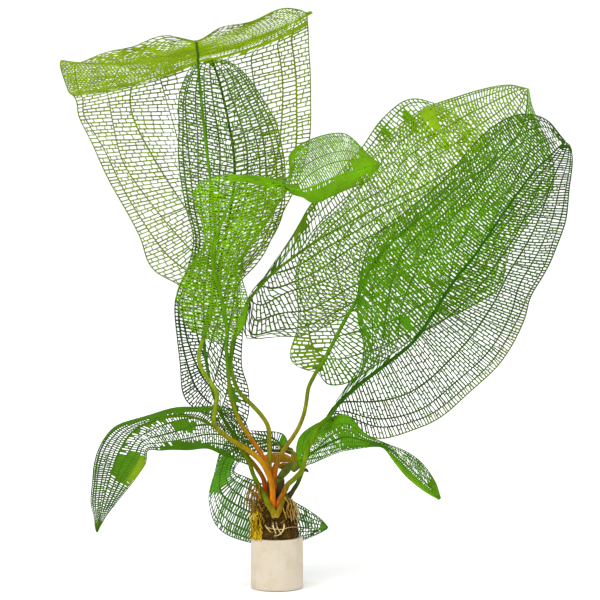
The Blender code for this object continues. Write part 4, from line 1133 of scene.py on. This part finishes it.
def net_mesh(name, net):
    """The solid mesh of a vein net: a ring of vein round each hole, thickest along the vein's middle."""
    u, v, thick = (np.asarray(x, float) for x in (net.u, net.v, net.thick))
    base = blade_points(net.leaf, u, v)
    normals = blade_normals(net.leaf, u, v)
    total = len(base)

    sizes = np.array([len(c) for c in net.cells])
    first = np.concatenate([[0], np.cumsum(sizes)[:-1]])
    cell = np.repeat(np.arange(len(sizes)), sizes)
    corner = np.arange(sizes.sum())
    after = np.where(corner == first[cell] + sizes[cell] - 1, first[cell], corner + 1)
    before = np.empty_like(after)
    before[after] = corner
    vid, half = np.concatenate(net.cells), np.concatenate(net.halves)
    inner, direction, face_normal, plain = inset(base[vid], half, cell, before, after, len(sizes))
    filled = np.asarray(net.filled) & ~plain
    in_fill = filled[cell]
    in_hole = ~in_fill & ~plain[cell]

    side_length = np.linalg.norm(inner[after] - inner, axis=1)
    turn = (direction[before] * direction).sum(axis=1)
    cut = np.minimum(CORNER_CUT, CUT_SHARE * np.minimum(side_length, side_length[before]))[:, None]
    sharp = (turn < SHARP_TURN) & in_hole
    inner_direction = unit(inner[after] - inner)

    points = [base + normals * thick[:, None], base - normals * thick[:, None]]
    long_vein = (thick > RUNG_THICK).astype(float)
    us, vs, veins, tissues = [u, u], [v, v], [long_vein, long_vein], [np.zeros(2 * total)]
    count = 2 * total
    faces = []

    def new_points(mask, places, tissue):
        """New points at the masked corners' places: their numbers, one for each corner of the net."""
        nonlocal count
        ids = np.full(len(mask), -1)
        ids[mask] = count + np.arange(mask.sum())
        points.append(places[mask])
        for kept, values in ((us, u), (vs, v), (veins, long_vein)):
            kept.append(values[vid][mask])
        tissues.append(np.broadcast_to(tissue, len(mask))[mask])
        count += int(mask.sum())
        return ids

    def join(*corners):
        faces.extend(np.stack(corners, axis=1).tolist())

    def vein_ring(mask, front, front_next, back, back_next):
        """The vein's front and back faces round the masked cells, out to the given inner points."""
        c, n = corner[mask], after[mask]
        join(vid[c], vid[n], front_next[n], front[c])
        join(back[c], back_next[n], vid[n] + total, vid[c] + total)

    dense = np.asarray(net.dense)[cell]
    leave = np.where(sharp[:, None], inner + inner_direction * cut, inner)
    leave_id = new_points(in_hole, leave, dense)
    arrive_id = new_points(sharp, inner - inner_direction[before] * cut, dense)
    arrive_id = np.where(sharp, arrive_id, leave_id)
    sheet = face_normal[cell] * TISSUE_THICK
    front_id = new_points(in_fill, inner + sheet, 1.0)
    back_id = new_points(in_fill, inner - sheet, 1.0)
    vein_ring(in_hole, leave_id, arrive_id, leave_id, arrive_id)
    join(vid[sharp], leave_id[sharp], arrive_id[sharp])
    join(arrive_id[sharp], leave_id[sharp], vid[sharp] + total)
    vein_ring(in_fill, front_id, front_id, back_id, back_id)
    for closed, front, back in ((filled, front_id, back_id), (plain, vid, vid + total)):
        for k in np.flatnonzero(closed):
            loop = slice(first[k], first[k] + sizes[k])
            faces += [front[loop].tolist(), back[loop][::-1].tolist()]
    sides = set(zip(vid.tolist(), vid[after].tolist()))
    for x, y in sorted(sides):
        if (y, x) not in sides:
            faces.append((y, x, x + total, y + total))
    values = {"leaf_u": us, "leaf_v": vs, "tissue": tissues, "long_vein": veins}
    values = {key: np.concatenate(parts) for key, parts in values.items()}
    return mesh_from(name, np.concatenate(points), faces, values)


# Leaves


def rib_radius(radii, v):
    """The midrib's radius at v along the blade."""
    _, top, start, tip = radii
    blend = np.clip(v / RIB_BLEND, 0, 1)
    slim = start + (tip - start) * np.clip(v, 0, 1)
    return top * (1 - blend) + slim * blend


def make_leaf(name):
    """One leaf: the net of its blade, and the stalk with the midrib that it runs on into."""
    leaf = LEAVES[name]
    leaf["radii"] = STALK_RADII[name]
    leaf["margins"] = [placed([station[k] for station in leaf["stations"]]) for k in range(3)]
    midrib = leaf["margins"][1]
    mesh = net_mesh(name + "_net", VeinNet(leaf, NETS[name]))
    link(mesh, "blade", blade_material(name), name + "_blade")

    route = [placed(leaf["stalk"]), midrib[:1]]
    if "crown_angle" in leaf:
        turn = math.radians(leaf["crown_angle"])
        route.insert(0, [(CROWN_RING * math.cos(turn), CROWN_RING * math.sin(turn), STALK_BASE)])
    route = np.vstack(route)
    steps = max(LEAST_STALK_STEPS, round(path_length(route) / STALK_STEP))
    rib_steps = max(LEAST_RIB_STEPS, round(path_length(midrib) / STALK_STEP))
    share, v = np.linspace(0, 1, steps), np.linspace(0, RIB_END, rib_steps)[1:]
    low, top = leaf["radii"][:2]
    radii = low + (top - low) * np.minimum(share * STALK_TAPER, 1.0)
    swell, swell_at, swell_length = FLARES.get(name, (0.0, 0.0, 1.0))
    radii *= 1 + swell * np.exp(-((share * steps * STALK_STEP - swell_at) / swell_length) ** 2)
    path = np.vstack([spline(route, share), spline(midrib, v)])
    wobble = np.array([1 + WOBBLE * noise.noise(Vector(p) * WOBBLE_SCALE) for p in path])
    radii = np.concatenate([radii, rib_radius(leaf["radii"], v)]) * wobble
    along = np.concatenate([share, np.linspace(1, 2, len(v))])
    tubes = Tubes()
    tubes.add(path, radii, STALK_SIDES, STRAP_FLAT.get(name, ROUND_STALK_FLAT), along=along)
    link(tubes.mesh(name + "_stalk_and_rib"), "stalk", stalk_material(name), name + "_stalk")


# Materials


def linear(colour):
    """A colour given in display values from 0 to 255, as the shader takes it."""
    return (*((value / 255) ** GAMMA for value in colour), 1.0)


class Look:
    """One material: its shader, and the nodes that lead to it."""

    def __init__(self, name, roughness, specular):
        self.made = bpy.data.materials.new(name)
        self.made.use_nodes = True
        self.nodes = self.made.node_tree.nodes
        self.shader = self.nodes["Principled BSDF"]
        self.shader.inputs["Roughness"].default_value = roughness
        self.shader.inputs["Specular IOR Level"].default_value = specular

    def put(self, socket, value):
        """Sets a socket to a number, a vector or a display colour, or links an output to it."""
        if isinstance(value, (int, float, Vector)):
            socket.default_value = value
        elif isinstance(value, tuple):
            socket.default_value = linear(value)
        else:
            self.made.node_tree.links.new(value, socket)

    def node(self, kind, output, inputs, **settings):
        """The given output of a new node, with its settings and inputs."""
        made = self.nodes.new("ShaderNode" + kind)
        for key, value in settings.items():
            setattr(made, key, value)
        for key, value in inputs.items():
            self.put(made.inputs[key], value)
        return made.outputs[output]

    def ramp(self, stops, place):
        """A run of display colours, as (place, colour), at the place that another node gives."""
        made = self.nodes.new("ShaderNodeValToRGB")
        elements = made.color_ramp.elements
        while len(elements) < len(stops):
            elements.new(0.5)
        for element, (at, colour) in zip(elements, stops):
            element.position = at
            element.color = linear(colour)
        self.put(made.inputs["Fac"], place)
        return made.outputs["Color"]

    def attribute(self, key):
        return self.node("Attribute", "Fac", {}, attribute_name=key)

    def coordinates(self):
        """The object's own coordinates, which are metres."""
        return self.node("TexCoord", "Object", {})

    def noise(self, scale, detail=3.0, roughness=0.6):
        inputs = {"Scale": scale, "Detail": detail, "Roughness": roughness, "Vector": self.coordinates()}
        return self.node("TexNoise", "Fac", inputs)

    def remap(self, value, low, high, to_low=0.0, to_high=1.0):
        inputs = {"Value": value, "From Min": low, "From Max": high, "To Min": to_low, "To Max": to_high}
        return self.node("MapRange", "Result", inputs)

    def mix(self, share, a, b, kind="MIX"):
        return self.node("Mix", 2, {0: share, 6: a, 7: b}, data_type="RGBA", blend_type=kind)

    def shaded(self, colour, clouds, darkest, lightest):
        """The colour made darker and lighter by noise."""
        light = self.remap(clouds, *CLOUD_RANGE, darkest, lightest)
        return self.node("VectorMath", "Vector", {0: colour, "Scale": light}, operation="SCALE")

    def skin(self, colour):
        self.put(self.shader.inputs["Base Color"], colour)

    def bumps(self, height, strength, distance):
        inputs = {"Strength": strength, "Distance": distance, "Height": height}
        self.put(self.shader.inputs["Normal"], self.node("Bump", "Normal", inputs))

    def let_light_through(self, colour, share):
        """Mixes the shader with a translucent one of the same colour."""
        through = self.node("BsdfTranslucent", "BSDF", {"Color": colour})
        inputs = {"Fac": share, 1: self.shader.outputs["BSDF"], 2: through}
        self.put(self.nodes["Material Output"].inputs["Surface"], self.node("MixShader", "Shader", inputs))


def blade_material(name):
    """Vein tissue: the leaf's own greens from base to tip, mottled, and brighter where cells are closed."""
    look = Look(name + "_veins", roughness=0.5, specular=0.12)
    u, v = look.attribute("leaf_u"), look.attribute("leaf_v")
    colour = look.ramp(BLADE_COLOURS[name], v)
    if name in RIGHT_COLOURS:
        colour = look.mix(look.remap(u, *HALVES_BLEND), colour, look.ramp(RIGHT_COLOURS[name], v))
    dark = look.remap(look.attribute("long_vein"), 0.0, 1.0, 0.0, VEIN_SHADE)
    colour = look.mix(dark, colour, VEIN_COLOUR, "MULTIPLY")
    tissue = TISSUE_COLOURS[name]
    if name in RIGHT_TISSUE:
        tissue = look.mix(look.remap(u, *HALVES_BLEND), tissue, RIGHT_TISSUE[name])
    colour = look.mix(look.attribute("tissue"), colour, tissue)
    if name in EDGE_COLOURS:
        begins, stops = EDGE_COLOURS[name]
        colour = look.mix(look.remap(u, begins - EDGE_BLEND, begins), colour, look.ramp(stops, v))
    if name in INNER_COLOURS:
        left, right, stops = INNER_COLOURS[name]
        inner = look.mix(look.remap(u, left - INNER_BLEND, left), colour, look.ramp(stops, v))
        colour = look.mix(look.remap(u, right, right + INNER_BLEND), inner, colour)
    colour = look.shaded(colour, look.noise(90.0), darkest=0.8, lightest=1.25)
    look.skin(colour)
    look.bumps(look.noise(900.0), strength=0.2, distance=0.0002)
    look.let_light_through(colour, share=0.3)
    return look.made


def stalk_material(name):
    """Smooth stalk skin: orange or red-brown at the crown and green towards the blade, faintly streaked, with
    painted shade darkening its sides below the blade.
    """
    look = Look(name + "_stalk_skin", roughness=0.5, specular=0.06)
    along = look.attribute("along")
    stops = [(place / 2, value) for place, value in STALK_COLOURS[name]]
    colour = look.ramp(stops, look.remap(along, 0.0, 2.0))
    colour = look.shaded(colour, look.noise(160.0), darkest=0.8, lightest=1.2)
    stretched = look.node("VectorMath", "Vector", {0: look.coordinates(), 1: STREAKS}, operation="MULTIPLY")
    streaks = look.node("TexNoise", "Fac", {"Scale": 1.0, "Detail": 2.0, "Vector": stretched})
    colour = look.shaded(colour, streaks, darkest=0.72, lightest=1.22)
    # Painted shade: the stalk's sides, where they turn away from the eye, are darkened towards a dark olive,
    # fading out just below the blade
    painted_side_shade = look.remap(look.node("LayerWeight", "Facing", {"Blend": 0.5}), 0.4, 1.0)
    below_blade = look.remap(along, 0.85, 1.0, PAINTED_RIM_SHADE, 0.0)
    painted_side_shade = look.node("Math", "Value", {0: painted_side_shade, 1: below_blade}, operation="MULTIPLY")
    look.skin(look.mix(painted_side_shade, colour, PAINTED_RIM_SHADE_COLOUR))
    look.bumps(look.noise(600.0), strength=0.15, distance=0.0003)
    return look.made


def ceramic_material():
    """Chalky unglazed ceramic: off-white with faint pink and cream clouds and fine pits."""
    look = Look("chalky_ceramic", roughness=0.85, specular=0.1)
    look.skin(look.ramp(CERAMIC_COLOURS, look.noise(120.0, 5.0, 0.65)))
    look.bumps(look.noise(1500.0, 4.0), strength=0.5, distance=0.0003)
    return look.made


def fibre_material(name, stops, bump_size):
    """Fibre: one of a run of colours for each strand, mottled."""
    look = Look(name, roughness=0.75, specular=0.15)
    colour = look.ramp(stops, look.attribute("tint"))
    look.skin(look.shaded(colour, look.noise(350.0), darkest=0.6, lightest=1.4))
    look.bumps(look.noise(bump_size), strength=0.6, distance=0.0005)
    return look.made


def old_base_material():
    """Old leaf base: dark, green or gold by its tint, mottled."""
    look = Look("old_leaf_base", roughness=0.5, specular=0.2)
    colour = look.ramp(OLD_BASE_COLOURS, look.attribute("tint"))
    look.skin(look.shaded(colour, look.noise(300.0), darkest=0.7, lightest=1.3))
    return look.made


# Holder and crown


def make_holder():
    """The ceramic holder: its outline turned about the axis, with rounded edges."""
    inner, upper = HOLDER_RADIUS - HOLDER_WALL, HOLDER_HEIGHT - HOLDER_EDGE

    def rounding(low, high, height):
        turns = np.linspace(low, high, ROUNDING_RINGS)[1:]
        flat = HOLDER_RADIUS - HOLDER_EDGE
        return [(flat + HOLDER_EDGE * math.cos(t), height + HOLDER_EDGE * math.sin(t)) for t in turns]

    outline = [(r, 0.0) for r in np.linspace(0.0, HOLDER_RADIUS - HOLDER_EDGE, FLAT_RINGS)]
    outline += rounding(-math.pi / 2, 0, HOLDER_EDGE)
    outline += [(HOLDER_RADIUS, z) for z in np.linspace(HOLDER_EDGE, upper, WALL_RINGS)[1:]]
    outline += rounding(0, math.pi / 2, upper)
    outline += [(inner + HOLDER_EDGE, HOLDER_HEIGHT), (inner, upper)]
    outline += [(inner, z) for z in np.linspace(upper, HOLDER_FLOOR, BORE_RINGS)[1:]]
    outline += [(0.0, HOLDER_FLOOR)]
    turns = [math.tau * k / HOLDER_SIDES for k in range(HOLDER_SIDES)]
    points = [(r * math.cos(turn), r * math.sin(turn), z) for r, z in outline for turn in turns]
    mesh = mesh_from("holder_shell", points, ring_faces(0, len(outline), HOLDER_SIDES))
    link(mesh, "ceramic", ceramic_material(), "ceramic_holder")


def on_column(turn, height, out):
    """A point out from the matted column on the holder, which is wider on the left."""
    right = np.interp(height, COLUMN_HEIGHTS, COLUMN_RIGHT)
    left = np.interp(height, COLUMN_HEIGHTS, COLUMN_LEFT)
    radius = left + (right - left) * ((1 + np.cos(turn)) / 2) + out
    return np.stack([radius * np.cos(turn), radius * np.sin(turn), height], axis=-1)


def lumpy_solid(name, heights, shrink, lump, tint_scale):
    """A closed lumpy core that follows the column's radius between the first and last height."""
    turns = np.arange(CORE_SIDES) * math.tau / CORE_SIDES
    points, tints = [], []
    for height in heights:
        ring = on_column(turns, np.full(CORE_SIDES, height), -shrink)
        closing = min(1.0, math.sqrt(max(heights[-1] - height, 0.0) / CORE_DOME))
        ring[:, :2] *= closing
        for p in ring:
            bulge = noise.noise(Vector(p) * LUMP_SCALE)
            bulge += SMALL_LUMP_SHARE * noise.noise(Vector(p) * SMALL_LUMP_SCALE)
            p[:2] *= 1 + lump * bulge * closing
            points.append(p)
            tints.append(0.5 + 0.5 * noise.noise(Vector(p) * tint_scale))
    faces = [tuple(range(CORE_SIDES))[::-1]]
    faces += ring_faces(0, len(heights), CORE_SIDES)
    faces.append(tuple(range(len(points) - CORE_SIDES, len(points))))
    return mesh_from(name, points, faces, {"tint": tints})


def trim_to_bore(mesh):
    """Draws the part of a core that stands in the holder in to the holder's bore."""
    bore = (HOLDER_RADIUS - HOLDER_WALL) * MM
    for vertex in mesh.vertices:
        radius = math.hypot(vertex.co.x, vertex.co.y)
        if vertex.co.z < (HOLDER_HEIGHT + RIM_GAP) * MM and radius > bore:
            vertex.co.x *= bore / radius
            vertex.co.y *= bore / radius


def add_fibres(tubes, count, turns, tops, drops, outs, sweep, radii, tints, wave):
    """Thin strands that lie on the column: each starts at one of the turns and tops, and hangs by a drop."""
    t = np.linspace(0, 1, FIBRE_STEPS)

    def waves(low, high):
        return np.sin(t * rng.uniform(low, high) + rng.uniform(*WAVE_START))

    for _ in range(count):
        turn = math.radians(rng.uniform(*turns))
        height = rng.uniform(*tops) - t * rng.uniform(*drops)
        height += HEIGHT_WAVE * waves(*HEIGHT_WAVES) * t
        wander = math.radians(rng.uniform(-sweep, sweep)) * t
        wander += math.radians(rng.uniform(*WAVE_SHARE) * wave) * waves(*SIDE_WAVES)
        out = rng.uniform(*outs) + OUT_WAVE * waves(*OUT_WAVES)
        path = on_column(turn + wander, np.maximum(height, FIBRES_END), out)
        taper = rng.uniform(*radii) * (1 - FIBRE_TAPER * np.abs(2 * t - 1) ** 3)
        tubes.add(path, taper, FIBRE_SIDES, 1.0, rng.uniform(*tints))


def add_root(tubes, points, radius, tint):
    """A root through the given points, thinner towards its end."""
    t = np.linspace(0, 1, ROOT_STEPS * len(points))
    tubes.add(spline(placed(points), t), radius * (1 - ROOT_TAPER * t), ROOT_SIDES, 1.0, tint)


def make_crown():
    """The plug, the rhizome and the roots: lumpy cores under a mat of strands."""
    finish = fibre_material("plug_fibres", PLUG_COLOURS, 1800.0)
    heights = np.linspace(*PLUG_FROM_TO, CORE_RINGS)
    core = lumpy_solid("plug_core", heights, shrink=0.0, lump=0.02, tint_scale=1.2)
    trim_to_bore(core)
    link(core, "plug_fibre", finish, "fibre_plug")
    heights = np.linspace(*RHIZOME_FROM_TO, CORE_RINGS)
    core = lumpy_solid("rhizome_core", heights, shrink=1.0, lump=0.09, tint_scale=0.5)
    link(core, "rhizome", finish, "rhizome")
    mat, tuft, roots = Tubes(), Tubes(), Tubes()
    for row in MATTED_FIBRES:
        add_fibres(mat, *row)
    link(mat.mesh("matted_fibres"), "plug_fibre", finish)

    for row in TUFT_FIBRES:
        add_fibres(tuft, *row)
    finish = fibre_material("root_fibres", TUFT_COLOURS, 2500.0)
    link(tuft.mesh("root_tuft"), "root_fibre", finish, "root_mat")

    for radius, tint, points in PALE_ROOTS:
        add_root(roots, points, radius, tint)
    for row in CROWN_FIBRES:
        add_fibres(roots, *row)
    for points in HAIR_ROOTS:
        for _ in range(HAIRS_EACH):
            shifted = np.asarray(points, float) + rng.normal(0, HAIR_SCATTER, (len(points), 3))
            add_root(roots, shifted, rng.uniform(*HAIR_RADII), rng.uniform(*HAIR_TINTS))
    finish = fibre_material("pale_roots", ROOT_COLOURS, 2500.0)
    link(roots.mesh("pale_and_hair_roots"), "root_fibre", finish)


def make_old_bases():
    """Dark remains of old leaf bases between the stalks, and the dark fold under the small leaf's base."""
    bases = Tubes()
    t = np.linspace(0, 1, BASE_STEPS)
    for points, widest, tint in OLD_BASES:
        radii = widest * np.sin(math.pi * (BASE_ROUNDING[0] + BASE_ROUNDING[1] * t)) ** BASE_POWER
        bases.add(spline(placed(points), t), radii, BASE_SIDES, BASE_FLAT, tint)
    link(bases.mesh("old_leaf_bases"), "stalk", old_base_material())


# Camera, light and floor


def make_stage():
    camera = add_object("camera", bpy.data.cameras.new("camera"))
    camera.location = (EYE_ACROSS * MM, -EYE_DISTANCE * MM, EYE_HEIGHT * MM)
    camera.rotation_euler = (math.pi / 2, 0, 0)
    camera.data.lens = LENS
    camera.data.sensor_width = SENSOR
    camera.data.clip_start = CLIP_START
    bpy.context.scene.camera = camera

    bpy.ops.mesh.primitive_circle_add(
        vertices=FLOOR_SIDES, radius=FLOOR_RADIUS, fill_type="NGON", location=(0, 0, -FLOOR_DROP),
    )
    floor = bpy.context.object
    floor.name = "floor"
    look = Look("pale_floor", roughness=1.0, specular=0.0)
    look.shader.inputs["Base Color"].default_value = FLOOR_COLOUR
    floor.data.materials.append(look.made)

    sun = add_object("sun", bpy.data.lights.new("sun", "SUN"))
    sun.data.energy = SUN_STRENGTH
    sun.data.angle = math.radians(SUN_WIDTH)
    sun.rotation_euler = Vector(SUN_FROM).to_track_quat("Z", "Y").to_euler()

    world = bpy.data.worlds.new("studio")
    bpy.context.scene.world = world
    world.use_nodes = True
    background = world.node_tree.nodes["Background"]
    background.inputs["Color"].default_value = (1.0, 1.0, 1.0, 1.0)
    background.inputs["Strength"].default_value = WORLD_STRENGTH
    bpy.context.scene.view_settings.view_transform = "Standard"


make_stage()
for leaf_name in LEAVES:
    make_leaf(leaf_name)
make_holder()
make_crown()
make_old_bases()
